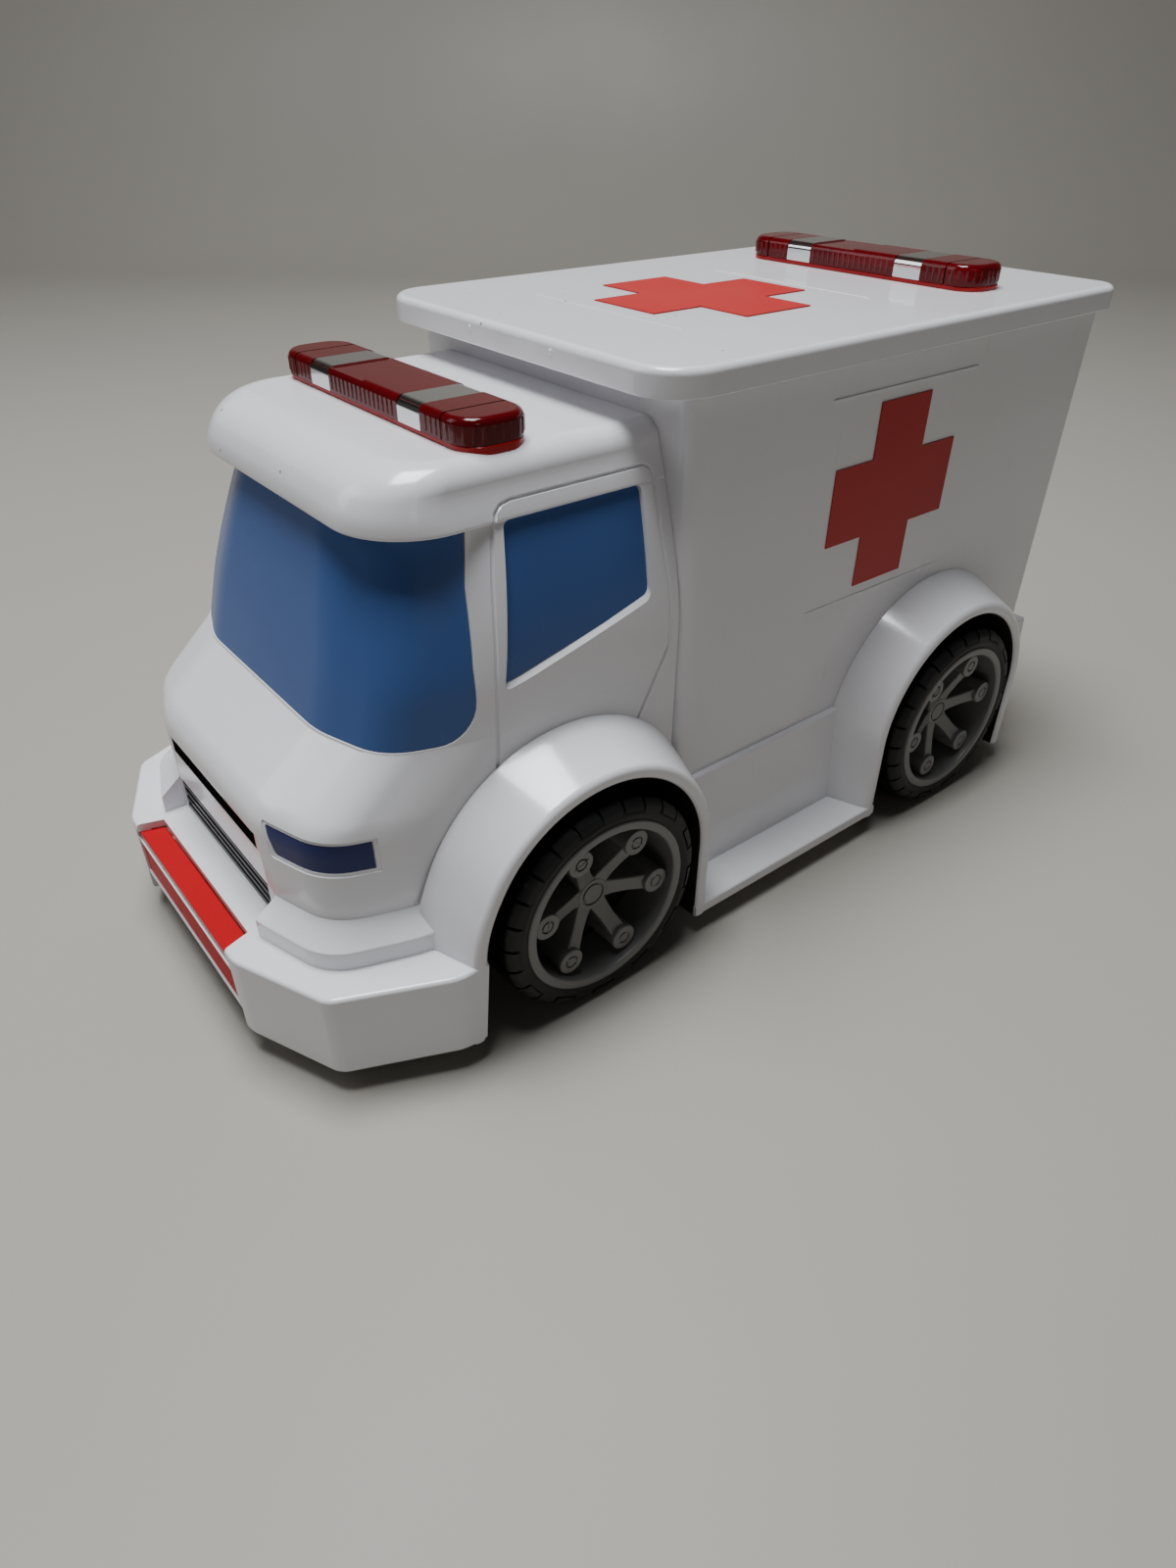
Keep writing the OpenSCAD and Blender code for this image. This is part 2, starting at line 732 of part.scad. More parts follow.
module windscreen() {
    color(window_blue) centred() intersection() {
        cabin_skin();
        along_x(-body_half, body_half) windscreen_outline();
    }
}

// Side view of a door window: level top, rear edge upright, lower edge falling to the front
module door_window_outline() {
    top = brow_z - sticker_t;
    front_low = screen_front + side_back + pillar_w;
    front_top = front_low + screen_rake / 2;
    rear = cab_rear - 4 * wall;
    fall = sill_fall * (brow_z - screen_z);
    polygon([
        [front_low, shoulder_z - fall / 2], [rear, shoulder_z + fall / 2],
        [rear + cut, top], [front_top, top]
    ]);
}

module door_window() {
    color(window_blue) centred() intersection() {
        cabin_skin();
        along_x(0, body_half) door_window_outline();
    }
}

module left_door_window() {
    door_window();
}

module right_door_window() {
    mirror([1, 0, 0]) door_window();
}

// Sticker bent round the left nose corner, with its top on the bonnet's rounding
module headlight() {
    color(lamp_blue) centred() intersection() {
        difference() {
            nose(-skin_gap - sticker_t);
            nose(-skin_gap);
        }
        along_y(nose_front - wall, nose_front + lamp_back) polygon([
            [lamp_x + lamp_slant, lamp_z], [body_half, lamp_z],
            [body_half, lamp_z + lamp_h], [lamp_x, lamp_z + lamp_h]
        ]);
    }
}

module left_headlight() {
    headlight();
}

module right_headlight() {
    mirror([1, 0, 0]) headlight();
}

// Cross with equal arms, in the plane of its sticker
module cross_plan(l, w) {
    square([l, w], center = true);
    square([w, l], center = true);
}

module side_cross() {
    color(cross_red) centred()
        translate([tub_half + skin_gap, wheelbase / 2 + side_cross_back, cross_z])
            rotate([90, 0, 90]) linear_extrude(sticker_t) cross_plan(side_cross_l, side_cross_w);
}

module left_cross() {
    side_cross();
}

module right_cross() {
    mirror([1, 0, 0]) side_cross();
}

// Light bar pieces, drawn on a surface at z = 0 with the bar's middle at the origin
module bar_plan(grow) {
    translate([0, -bar_d / 2 - grow]) round_rect(bar_l + 2 * grow, bar_d + 2 * grow, bar_r + grow);
}

module bar_foot(low) {
    translate([0, 0, low]) linear_extrude(base_t + skin_gap - low) bar_plan(base_lip);
}

module bar_pegs() {
    for (x = [-peg_x, peg_x])
        translate([x, 0, -wall]) cylinder(h = wall + base_t, d = peg_d, $fn = fine);
}

// Section through a band, across the bar, moved inwards by an inset
module band_section(inset) {
    translate([-bar_d / 2 + inset, 0]) square([bar_d - 2 * inset, bar_h - inset]);
}

module bar_lens() {
    low = skin_gap + base_t + skin_gap;
    difference() {
        translate([0, 0, low]) linear_extrude(bar_h - low) bar_plan(0);
        for (x = [-band_x, band_x])
            along_x(x - band_w / 2 - skin_gap, x + band_w / 2 + skin_gap) difference() {
                band_section(-cut);
                band_section(band_t + skin_gap);
            }
    }
}

module bar_band(x) {
    low = skin_gap + base_t + skin_gap;
    along_x(x - band_w / 2, x + band_w / 2) difference() {
        translate([0, low]) intersection() {
            band_section(0);
            translate([-bar_d, 0]) square([2 * bar_d, bar_h - low]);
        }
        band_section(band_t);
    }
}

module on_cab() {
    centred() translate([0, front_bar_y, roof_z]) children();
}

module on_lid() {
    centred() translate([0, rear_bar_y, lid_top]) children();
}

// The foot of the front bar reaches down over the roof's rounded edges
module front_bar_base() {
    color(lens_red) {
        difference() {
            on_cab() bar_foot(-roof_side_r / 2);
            centred() roof(skin_gap);
        }
        on_cab() bar_pegs();
    }
}

module front_bar_lens() {
    color(lens_red) on_cab() bar_lens();
}

module front_bar_left_band() {
    color(chrome) on_cab() bar_band(band_x);
}

module front_bar_right_band() {
    color(chrome) on_cab() bar_band(-band_x);
}

module rear_bar_base() {
    color(lens_red) on_lid() {
        bar_foot(skin_gap);
        bar_pegs();
    }
}

module rear_bar_lens() {
    color(lens_red) on_lid() bar_lens();
}

module rear_bar_left_band() {
    color(chrome) on_lid() bar_band(band_x);
}

module rear_bar_right_band() {
    color(chrome) on_lid() bar_band(-band_x);
}

// Plan of the lid, drawn in by an inset: its rear corners run round the tub's corners
module lid_plan(inset) {
    w = lid_w - 2 * inset;
    l = lid_l - 2 * inset;
    translate([0, lid_y + inset]) round_rect(w, l, lid_r - inset);
    translate([0, lid_y + inset + l / 2]) round_rect(w, l / 2, tub_r + min(lid_side, lid_rear) - inset);
}

module lid() {
    under = tub_top + stack_gap;
    lip_in = wall + lip_gap;
    lip_w = 2 * (tub_half - lip_in);
    lip_l = tub_l - 2 * lip_in;
    color(white) centred() difference() {
        union() {
            difference() {
                translate([0, 0, lid_top - lid_h]) linear_extrude(lid_h) lid_plan(0);
                translate([0, 0, lid_top - lid_h - cut]) linear_extrude(lid_h - lid_t + cut) lid_plan(wall);
            }
            translate([0, tub_gap + lip_in, under - lip_h]) linear_extrude(lip_h + lid_t / 2) difference() {
                round_rect(lip_w, lip_l, tub_r);
                translate([0, lip_t]) round_rect(lip_w - 2 * lip_t, lip_l - 2 * lip_t, tub_r);
            }
        }
        for (x = [-peg_x, peg_x])
            translate([x, rear_bar_y, lid_top - lid_t - cut])
                cylinder(h = lid_t + 2 * cut, d = peg_d + fit_gap, $fn = fine);
    }
}

module lid_cross() {
    color(cross_red) centred()
        translate([0, lid_y + lid_cross_back, lid_top + skin_gap])
            linear_extrude(sticker_t) cross_plan(lid_cross_l, lid_cross_w);
}

module axle(y) {
    half = wheel_face - hub_recess - wall;
    color(steel) centred()
        drum(-half, half, y, axle_z, axle_d / 2, axle_d / 2);
}

module front_axle() {
    axle(0);
}

module rear_axle() {
    axle(wheelbase);
}

// Hub drawn with its axis on Z and the wheel face at z = 0, the inside of the car below
module hub_form() {
    rim_r = rim_d / 2;
    barrel_r = rim_r - rim_wall;
    centre_r = hub_cap_d / 2;
    boss_r = boss_circle_d / 2;
    disc_z = -disc_recess;
    spoke_drop = hub_recess - boss_recess;
    difference() {
        union() {
            rotate_extrude($fn = fine)
                polygon([
                    [barrel_r, -tyre_w + cut], [rim_r, -tyre_w + cut], [rim_r, -cut / 2],
                    [rim_r - cut / 2, 0], [barrel_r + cut / 2, 0], [barrel_r, -cut / 2]
                ]);
            translate([0, 0, disc_z - disc_t]) cylinder(h = disc_t, r = barrel_r + cut / 2, $fn = fine);
            translate([0, 0, -tyre_w + cut])
                cylinder(h = tyre_w - cut - hub_recess, r = centre_r, $fn = fine);
            for (i = [0 : spoke_count - 1])
                rotate([0, 0, 360 / spoke_count * i]) {
                    translate([boss_r, 0, disc_z - slice])
                        cylinder(h = disc_recess - boss_recess + slice, d = boss_d, $fn = fine);
                    translate([0, 0, -hub_recess]) rotate([0, -atan(spoke_drop / 2 / boss_r), 0])
                        translate([0, -spoke_w / 2, -spoke_drop])
                            cube([boss_r, spoke_w, spoke_drop - cut / 2]);
                }
        }
        translate([0, 0, -tyre_w]) cylinder(h = tyre_w - hub_recess - wall + seat_gap,
            r = axle_d / 2 + seat_gap, $fn = fine);
        for (i = [0 : spoke_count - 1])
            rotate([0, 0, 360 / spoke_count * i]) translate([boss_r, 0, -boss_recess - cut / 2])
                difference() {
                    cylinder(h = cut, d = boss_d * 0.62, $fn = fine);
                    cylinder(h = cut, d = boss_d * 0.4, $fn = fine);
                }
        translate([0, 0, -hub_recess - cut / 2]) difference() {
            cylinder(h = cut, r = centre_r * 0.72, $fn = fine);
            cylinder(h = cut, r = centre_r * 0.6, $fn = fine);
        }
    }
}

// Tyre in the same frame as the hub: a plain carcass with staggered tread blocks on each shoulder
module tyre_form() {
    outer_r = tyre_d / 2;
    inner_r = rim_d / 2 + seat_gap;
    shoulder = 2 * lug_depth;
    pitch = 360 / lug_count;
    difference() {
        rotate_extrude($fn = fine)
            polygon([
                [inner_r, -tyre_w + cut / 2], [outer_r - shoulder, -tyre_w], [outer_r, -tyre_w + shoulder],
                [outer_r, -shoulder], [outer_r - shoulder, 0], [inner_r, -cut / 2]
            ]);
        for (i = [0 : lug_count - 1]) {
            rotate([0, 0, pitch * i])
                translate([outer_r - lug_depth, -lug_gap / 2, -tyre_w / 2]) cube([tyre_w, lug_gap, tyre_w]);
            rotate([0, 0, pitch * (i + 1 / 2)])
                translate([outer_r - lug_depth, -lug_gap / 2, -1.5 * tyre_w])
                    cube([tyre_w, lug_gap, tyre_w]);
        }
    }
}

// Puts a wheel piece on the left end of an axle
module on_axle(y) {
    centred() translate([wheel_face, y, axle_z]) rotate([0, 90, 0]) children();
}

module front_left_hub() {
    color(hub_grey) on_axle(0) hub_form();
}

module front_right_hub() {
    mirror([1, 0, 0]) color(hub_grey) on_axle(0) hub_form();
}

module front_left_tyre() {
    color(rubber_black) on_axle(0) tyre_form();
}

module front_right_tyre() {
    mirror([1, 0, 0]) color(rubber_black) on_axle(0) tyre_form();
}

module rear_left_hub() {
    color(hub_grey) on_axle(wheelbase) hub_form();
}

module rear_right_hub() {
    mirror([1, 0, 0]) color(hub_grey) on_axle(wheelbase) hub_form();
}

module rear_left_tyre() {
    color(rubber_black) on_axle(wheelbase) tyre_form();
}

module rear_right_tyre() {
    mirror([1, 0, 0]) color(rubber_black) on_axle(wheelbase) tyre_form();
}

lower_body();
cab_shell();
box_tub();
base_plate();
base_screws();
grille();
upper_bumper_pad();
lower_bumper_pad();
windscreen();
left_door_window();
right_door_window();
left_headlight();
right_headlight();
left_cross();
right_cross();
front_bar_base();
front_bar_lens();
front_bar_left_band();
front_bar_right_band();
lid();
lid_cross();
rear_bar_base();
rear_bar_lens();
rear_bar_left_band();
rear_bar_right_band();
front_axle();
front_left_hub();
front_right_hub();
front_left_tyre();
front_right_tyre();
rear_axle();
rear_left_hub();
rear_right_hub();
rear_left_tyre();
rear_right_tyre();
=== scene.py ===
import math

import bmesh
import bpy
from bmesh.types import BMEdge, BMFace, BMVert
from mathutils import Matrix, Quaternion, Vector


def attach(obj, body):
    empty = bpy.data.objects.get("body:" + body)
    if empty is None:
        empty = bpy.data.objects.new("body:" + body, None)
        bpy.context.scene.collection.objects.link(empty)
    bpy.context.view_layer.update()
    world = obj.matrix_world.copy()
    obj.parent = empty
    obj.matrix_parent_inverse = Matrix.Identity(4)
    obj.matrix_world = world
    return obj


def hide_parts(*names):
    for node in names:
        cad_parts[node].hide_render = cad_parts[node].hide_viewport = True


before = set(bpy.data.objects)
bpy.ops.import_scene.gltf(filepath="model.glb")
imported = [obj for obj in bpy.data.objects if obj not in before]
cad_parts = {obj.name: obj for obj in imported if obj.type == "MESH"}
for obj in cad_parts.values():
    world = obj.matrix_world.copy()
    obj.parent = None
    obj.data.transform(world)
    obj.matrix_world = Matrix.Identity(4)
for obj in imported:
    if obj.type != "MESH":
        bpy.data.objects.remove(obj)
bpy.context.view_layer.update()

print("frame loaded with", len(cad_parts), "nodes")

# the car is drawn in millimetres, with the front axle at y = 0 and the floor at z = 0
frontAxleAt = -64.85
carToRow = Matrix.Scale(0.001, 4) @ Matrix.Translation((0, frontAxleAt, 0))
acrossCar = Matrix.Diagonal((-1, 1, 1, 1))
wheelbase = 150.0
axleHeight = 31.5
archHeight = 33.3
far = 90.0  # past the car's front, sides and fenders
past = 3.0  # how far a cutting tool runs past an open side
hair = 0.02  # keeps two faces from lying on each other
weld = 0.002
sharpAngle = math.radians(30)


# mesh helpers
def ofKind(made, kind):
    return [g for g in made if isinstance(g, kind)]


def span(edge, axis):
    return abs(edge.verts[0].co[axis] - edge.verts[1].co[axis])


def atHeight(part, z):
    return all(abs(v.co.z - z) < 0.01 for v in part.verts)


def mirrored(oneSide):
    return [(-x, y) for x, y in reversed(oneSide)]


def pull(bm, face, move):
    made = bmesh.ops.extrude_face_region(bm, geom=[face])["geom"]
    bmesh.ops.translate(bm, verts=ofKind(made, BMVert), vec=move)
    return ofKind(made, BMFace)[0]


def spin(bm, geom, angle, steps, centre=(0, 0, 0), **options):
    return bmesh.ops.spin(bm, geom=geom, cent=centre, axis=(1, 0, 0), angle=angle, steps=steps,
                          **options)["geom_last"]


def spinFace(bm, face, angle, steps, *more, **options):
    return spin(bm, [face, *face.edges, *face.verts], angle, steps, *more, **options)


def bevel(bm, affect, geom, width, segments):
    bmesh.ops.bevel(bm, geom=list(geom), offset=width, offset_type="OFFSET", segments=segments, profile=0.5,
                    affect=affect, material=-1, clamp_overlap=True)


def roundCorners(bm, verts, width, segments):
    bevel(bm, "VERTICES", verts, width, segments)


def roundEdges(bm, edges, width, segments):
    bevel(bm, "EDGES", edges, width, segments)


# a flat outline with the given corners rounded
def roundedFace(bm, points, corners, radius, segments):
    bm.faces.new([bm.verts.new(p) for p in points])
    if radius:
        bm.verts.ensure_lookup_table()
        roundCorners(bm, [bm.verts[i] for i in corners], radius, segments)
    return next(iter(bm.faces))


def outward(bm):
    bmesh.ops.remove_doubles(bm, verts=bm.verts, dist=0.0005)
    bmesh.ops.recalc_face_normals(bm, faces=bm.faces)
    return bm


# faces left inside by an extrusion share each of their edges with two others
def dropInner(bm):
    inner = [f for f in bm.faces if all(len(e.link_faces) > 2 for e in f.edges)]
    bmesh.ops.delete(bm, geom=inner, context="FACES_ONLY")
    return bm


def block(low, high):
    bm = bmesh.new()
    size, middle = Vector(high) - Vector(low), (Vector(high) + Vector(low)) / 2
    bmesh.ops.create_cube(bm, size=1, matrix=Matrix.Translation(middle) @ Matrix.Diagonal((*size, 1)))
    return bm


def rod(radius, length, segments, place):
    bm = bmesh.new()
    bmesh.ops.create_cone(bm, cap_ends=True, segments=segments, radius1=radius, radius2=radius, depth=length,
                          matrix=place)
    return bm


def softBlock(low, high, width, segments=2):
    bm = block(low, high)
    roundEdges(bm, bm.edges, width, segments)
    return outward(bm)


# a flat outline, rounded at some or all corners, pulled into a solid
def prism(points, move, radius=0.0, segments=5, corners=None):
    bm = bmesh.new()
    pull(bm, roundedFace(bm, points, corners or range(len(points)), radius, segments), move)
    return outward(bm)


def rectangle(half, front, rear, z):
    return [(-half, front, z), (half, front, z), (half, rear, z), (-half, rear, z)]


def joined(*parts):
    whole = bmesh.new()
    for part in parts:
        mesh = bpy.data.meshes.new("part")
        part.to_mesh(mesh)
        part.free()
        whole.from_mesh(mesh)
        bpy.data.meshes.remove(mesh)
    return whole


def copyOf(bm, matrix):
    other = bm.copy()
    bmesh.ops.transform(other, matrix=matrix, verts=other.verts)
    bmesh.ops.recalc_face_normals(other, faces=other.faces)
    return other


def bothSides(bm):
    return joined(copyOf(bm, acrossCar), bm)


def linkObject(name, data):
    made = bpy.data.objects.new(name, data)
    bpy.context.scene.collection.objects.link(made)
    return made


def meshObject(name, bm):
    mesh = bpy.data.meshes.new(name)
    bm.to_mesh(mesh)
    bm.free()
    return linkObject(name, mesh)


def combine(bm, tool, how):
    base, other = meshObject("work", bm), meshObject("work", tool)
    modifier = base.modifiers.new("combine", "BOOLEAN")
    modifier.object, modifier.operation, modifier.solver = other, how, "MANIFOLD"
    result = bmesh.new()
    result.from_object(base, bpy.context.evaluated_depsgraph_get())
    for work in (base, other):
        mesh = work.data
        bpy.data.objects.remove(work)
        bpy.data.meshes.remove(mesh)
    return result


def fuse(bm, *forms):
    for form in forms:
        bm = combine(bm, form, "UNION")
    return bm


def cut(bm, *tools):
    for tool in tools:
        bm = combine(bm, tool, "DIFFERENCE")
    return bm


def placePiece(name, bm, body, looks, nodes=()):
    bmesh.ops.transform(bm, matrix=carToRow, verts=bm.verts)
    for face in bm.faces:
        face.smooth = True
    for edge in bm.edges:
        edge.smooth = edge.calc_face_angle(0.0) < sharpAngle
    piece = meshObject(name, bm)
    for look in looks:
        piece.data.materials.append(finish[look])
    piece.modifiers.new("normals", "WEIGHTED_NORMAL").keep_sharp = True
    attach(piece, body)
    if nodes:
        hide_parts(*nodes)


# shader nodes: an input is a link where its value is a socket
def fillNode(tree, node, inputs):
    for key, value in inputs.items():
        if isinstance(value, bpy.types.NodeSocket):
            tree.links.new(value, node.inputs[key])
        else:
            node.inputs[key].default_value = value


def addNode(tree, kind, inputs, **settings):
    node = tree.nodes.new("ShaderNode" + kind)
    for name, value in settings.items():
        setattr(node, name, value)
    fillNode(tree, node, inputs)
    return node.outputs


def newGroup(name, inputs, outputs):
    group = bpy.data.node_groups.new(name, "ShaderNodeTree")
    for side, sockets in (("INPUT", inputs), ("OUTPUT", outputs)):
        for label, kind in sockets.items():
            group.interface.new_socket(name=label, in_out=side, socket_type="NodeSocket" + kind)
    return group, group.nodes.new("NodeGroupInput").outputs, group.nodes.new("NodeGroupOutput")


# small dots at the middles of a few cells
def makeSpecks():
    group, given, result = newGroup("dirtSpecks", dict(Vector="Vector", Scale="Float", Amount="Float"),
                                    dict(Mask="Float"))
    cells = addNode(group, "TexVoronoi", {"Vector": given["Vector"], "Scale": given["Scale"]}, feature="F1")
    dot = addNode(group, "MapRange", {"Value": cells["Distance"], "From Min": 0.16, "From Max": 0.05})
    pick = addNode(group, "SeparateColor", {"Color": cells["Color"]})
    few = addNode(group, "Math", {0: pick["Red"], 1: given["Amount"]}, operation="LESS_THAN")
    both = addNode(group, "Math", {0: dot["Result"], 1: few["Value"]}, operation="MULTIPLY")
    fillNode(group, result, {"Mask": both["Value"]})
    return group


# thin streaks, from stretched noise
def makeScuffs():
    group, given, result = newGroup("scuffs", dict(Vector="Vector"), dict(Mask="Float"))
    turned = addNode(group, "Mapping", {"Vector": given["Vector"], "Rotation": (0.5, 0.9, 0.4),
                                        "Scale": (1.0, 6.0, 1.0)})
    noise = addNode(group, "TexNoise", {"Vector": turned["Vector"], "Scale": 55.0, "Detail": 6.0})
    thin = addNode(group, "MapRange", {"Value": noise["Fac"], "From Min": 0.66, "From Max": 0.78})
    fillNode(group, result, {"Mask": thin["Result"]})
    return group


# two close colours and a range of roughness, mixed by one noise
def makeMottle():
    group, given, result = newGroup(
        "mottle", dict(Vector="Vector", Scale="Float", First="Color", Second="Color", Low="Float",
                       High="Float"), dict(Color="Color", Roughness="Float"))
    noise = addNode(group, "TexNoise", {"Vector": given["Vector"], "Scale": given["Scale"], "Detail": 5.0})
    middle = {"Value": noise["Fac"], "From Min": 0.3, "From Max": 0.7}
    spread = addNode(group, "MapRange", middle)
    mix = addNode(group, "Mix", {"Factor": spread["Result"], "A": given["First"], "B": given["Second"]},
                  data_type="RGBA")
    rough = addNode(group, "MapRange", {**middle, "To Min": given["Low"], "To Max": given["High"]})
    fillNode(group, result, {"Color": mix["Result"], "Roughness": rough["Result"]})
    return group


# a fine grain on a broad wave
def makeGrain():
    group, given, result = newGroup("mouldGrain", dict(Vector="Vector"), dict(Height="Float"))
    fine = addNode(group, "TexNoise", {"Vector": given["Vector"], "Scale": 900.0, "Detail": 3.0})
    broad = addNode(group, "TexNoise", {"Vector": given["Vector"], "Scale": 45.0, "Detail": 1.0})
    total = addNode(group, "Math", {0: fine["Fac"], 1: 0.12, 2: broad["Fac"]}, operation="MULTIPLY_ADD")
    fillNode(group, result, {"Height": total["Value"]})
    return group


specks, scuffs, mottle, grain = makeSpecks(), makeScuffs(), makeMottle(), makeGrain()


def placeGroup(tree, group, place, **values):
    return addNode(tree, "Group", dict(Vector=place, **values), node_tree=group)


# one recipe for the finishes: mottled colour, dirt, scuffs and a moulded surface
def makeFinish(name, look):
    material = bpy.data.materials.new(name)
    material.use_nodes = True
    tree = material.node_tree
    place = addNode(tree, "TexCoord", {})["Object"]
    base = placeGroup(tree, mottle, place, Scale=look.get("mottleScale", 14.0), First=(*look["color"], 1),
                      Second=(*look["second"], 1), Low=look["rough"][0], High=look["rough"][1])
    color = base["Color"]
    if look.get("dirt"):
        dots = placeGroup(tree, specks, place, Scale=look.get("dirtScale", 300.0), Amount=look["dirt"])
        worn = placeGroup(tree, scuffs, place)
        mask = addNode(tree, "Math", {0: worn["Mask"], 1: look.get("scuffStrength", 0.15), 2: dots["Mask"]},
                       operation="MULTIPLY_ADD", use_clamp=True)
        stain = addNode(tree, "Mix", {"Factor": mask["Value"], "A": color, "B": (*look["dirtColor"], 1)},
                        data_type="RGBA")
        color = stain["Result"]
    surface = placeGroup(tree, grain, place)
    bump = addNode(tree, "Bump", {"Height": surface["Height"], "Strength": look["bump"], "Distance": 0.0006})
    fillNode(tree, tree.nodes["Principled BSDF"], {
        "Base Color": color, "Roughness": base["Roughness"], "Normal": bump["Normal"],
        "Metallic": look.get("metal", 0.0), "IOR": look.get("ior", 1.5),
        "Specular IOR Level": look.get("spec", 0.5), "Coat Weight": look.get("coat", 0.0),
        "Coat Roughness": 0.08, "Transmission Weight": look.get("clear", 0.0)})
    return material


finishes = {
    "whitePlastic": dict(
        color=(0.83, 0.82, 0.86), second=(0.79, 0.785, 0.81), rough=(0.14, 0.24), dirt=0.018,
        dirtColor=(0.2, 0.18, 0.17), scuffStrength=0.08, coat=0.4, bump=0.04),
    "blueSticker": dict(
        color=(0.056, 0.12, 0.33), second=(0.046, 0.1, 0.285), rough=(0.24, 0.36), dirt=0.012,
        dirtColor=(0.16, 0.2, 0.34), spec=0.35, bump=0.05, mottleScale=9.0),
    "navySticker": dict(
        color=(0.016, 0.026, 0.14), second=(0.012, 0.02, 0.11), rough=(0.24, 0.36), dirt=0.03,
        dirtScale=150.0, dirtColor=(0.3, 0.3, 0.36), spec=0.3, bump=0.05),
    "redSticker": dict(
        color=(0.5, 0.016, 0.018), second=(0.44, 0.012, 0.014), rough=(0.28, 0.4), dirt=0.02,
        dirtColor=(0.16, 0.05, 0.05), spec=0.3, bump=0.05),
    "redPlastic": dict(
        color=(0.46, 0.009, 0.016), second=(0.4, 0.007, 0.013), rough=(0.16, 0.26), dirt=0.03,
        dirtColor=(0.12, 0.02, 0.02), spec=0.12, ior=1.35, bump=0.05),
    # a shaded copy of the pad red for the lower pad: a stronger red with almost no reflection, standing in
    # for the shade that falls on it
    "redShadedCopy": dict(
        color=(0.62, 0.009, 0.016), second=(0.54, 0.007, 0.013), rough=(0.3, 0.42), dirt=0.03,
        dirtColor=(0.12, 0.02, 0.02), spec=0.02, bump=0.05),
    "blackPlastic": dict(
        color=(0.01, 0.01, 0.011), second=(0.016, 0.016, 0.017), rough=(0.22, 0.34), spec=0.15, bump=0.08),
    "slotBlack": dict(
        color=(0.006, 0.006, 0.006), second=(0.01, 0.01, 0.01), rough=(0.7, 0.85), spec=0.0, bump=0.05),
    "redLens": dict(
        color=(0.2, 0.004, 0.009), second=(0.16, 0.003, 0.007), rough=(0.06, 0.13), spec=0.24, clear=0.55,
        bump=0.03, ior=1.45),
    "redBase": dict(
        color=(0.55, 0.016, 0.02), second=(0.47, 0.012, 0.016), rough=(0.16, 0.26), spec=0.2, clear=0.2,
        bump=0.03),
    "mirrorFoil": dict(
        color=(0.86, 0.86, 0.87), second=(0.8, 0.8, 0.82), rough=(0.05, 0.12), metal=1.0, bump=0.06),
    "hubGrey": dict(
        color=(0.21, 0.208, 0.205), second=(0.18, 0.178, 0.175), rough=(0.28, 0.4), dirt=0.06,
        dirtScale=260.0, dirtColor=(0.05, 0.045, 0.04), bump=0.1, metal=0.15),
    # painted shade: a near-black finish for the disc behind the spokes, standing in for the shadow in the
    # wheel's hollow
    "paintedHubShade": dict(color=(0.012, 0.012, 0.012), second=(0.018, 0.017, 0.017), rough=(0.55, 0.7), bump=0.1),
    "tyreRubber": dict(
        color=(0.006, 0.0062, 0.0066), second=(0.01, 0.01, 0.0105), rough=(0.42, 0.6), mottleScale=40.0,
        dirt=0.1, dirtScale=200.0, dirtColor=(0.03, 0.028, 0.025), spec=0.3, bump=0.25),
    # painted shade: a near-black finish for the inside of the wheel wells, standing in for the shadow there
    "paintedWellShade": dict(
        color=(0.02, 0.019, 0.018), second=(0.03, 0.028, 0.027), rough=(0.5, 0.65), spec=0.2, bump=0.08),
    "plainSteel": dict(
        color=(0.56, 0.56, 0.58), second=(0.46, 0.46, 0.48), rough=(0.24, 0.38), metal=1.0, bump=0.1),
}
finish = {name: makeFinish(name, look) for name, look in finishes.items()}
print("finishes made:", len(finish))

# camera where the photographer stood
cameraSet = dict(place=(0.22468, -0.19037, 0.2074), azimuth=51.231, elevation=35.277, roll=0.3413, lens=23.03,
                 sensor=36, near=0.01)
camera = bpy.data.cameras.new("camera")
camera.lens = cameraSet["lens"]
camera.sensor_width = cameraSet["sensor"]
camera.clip_start = cameraSet["near"]
eye = linkObject("camera", camera)
turn, rise = math.radians(cameraSet["azimuth"]), math.radians(cameraSet["elevation"])
backward = Vector((math.sin(turn) * math.cos(rise), -math.cos(turn) * math.cos(rise), math.sin(rise)))
eye.rotation_mode = "QUATERNION"
eye.rotation_quaternion = ((-backward).to_track_quat("-Z", "Y")
                           @ Quaternion((0, 0, 1), math.radians(cameraSet["roll"])))
eye.location = cameraSet["place"]
bpy.context.scene.camera = eye

# pale floor that sweeps up into a plain backdrop
stageSet = dict(size=4.0, wallAngle=51.0, wallAt=1.1, bend=0.35, bendSteps=12, wallHeight=2.5,
                look=dict(color=(0.375, 0.35, 0.312), second=(0.35, 0.327, 0.292), rough=(0.5, 0.6),
                          mottleScale=3.0, bump=0.02))


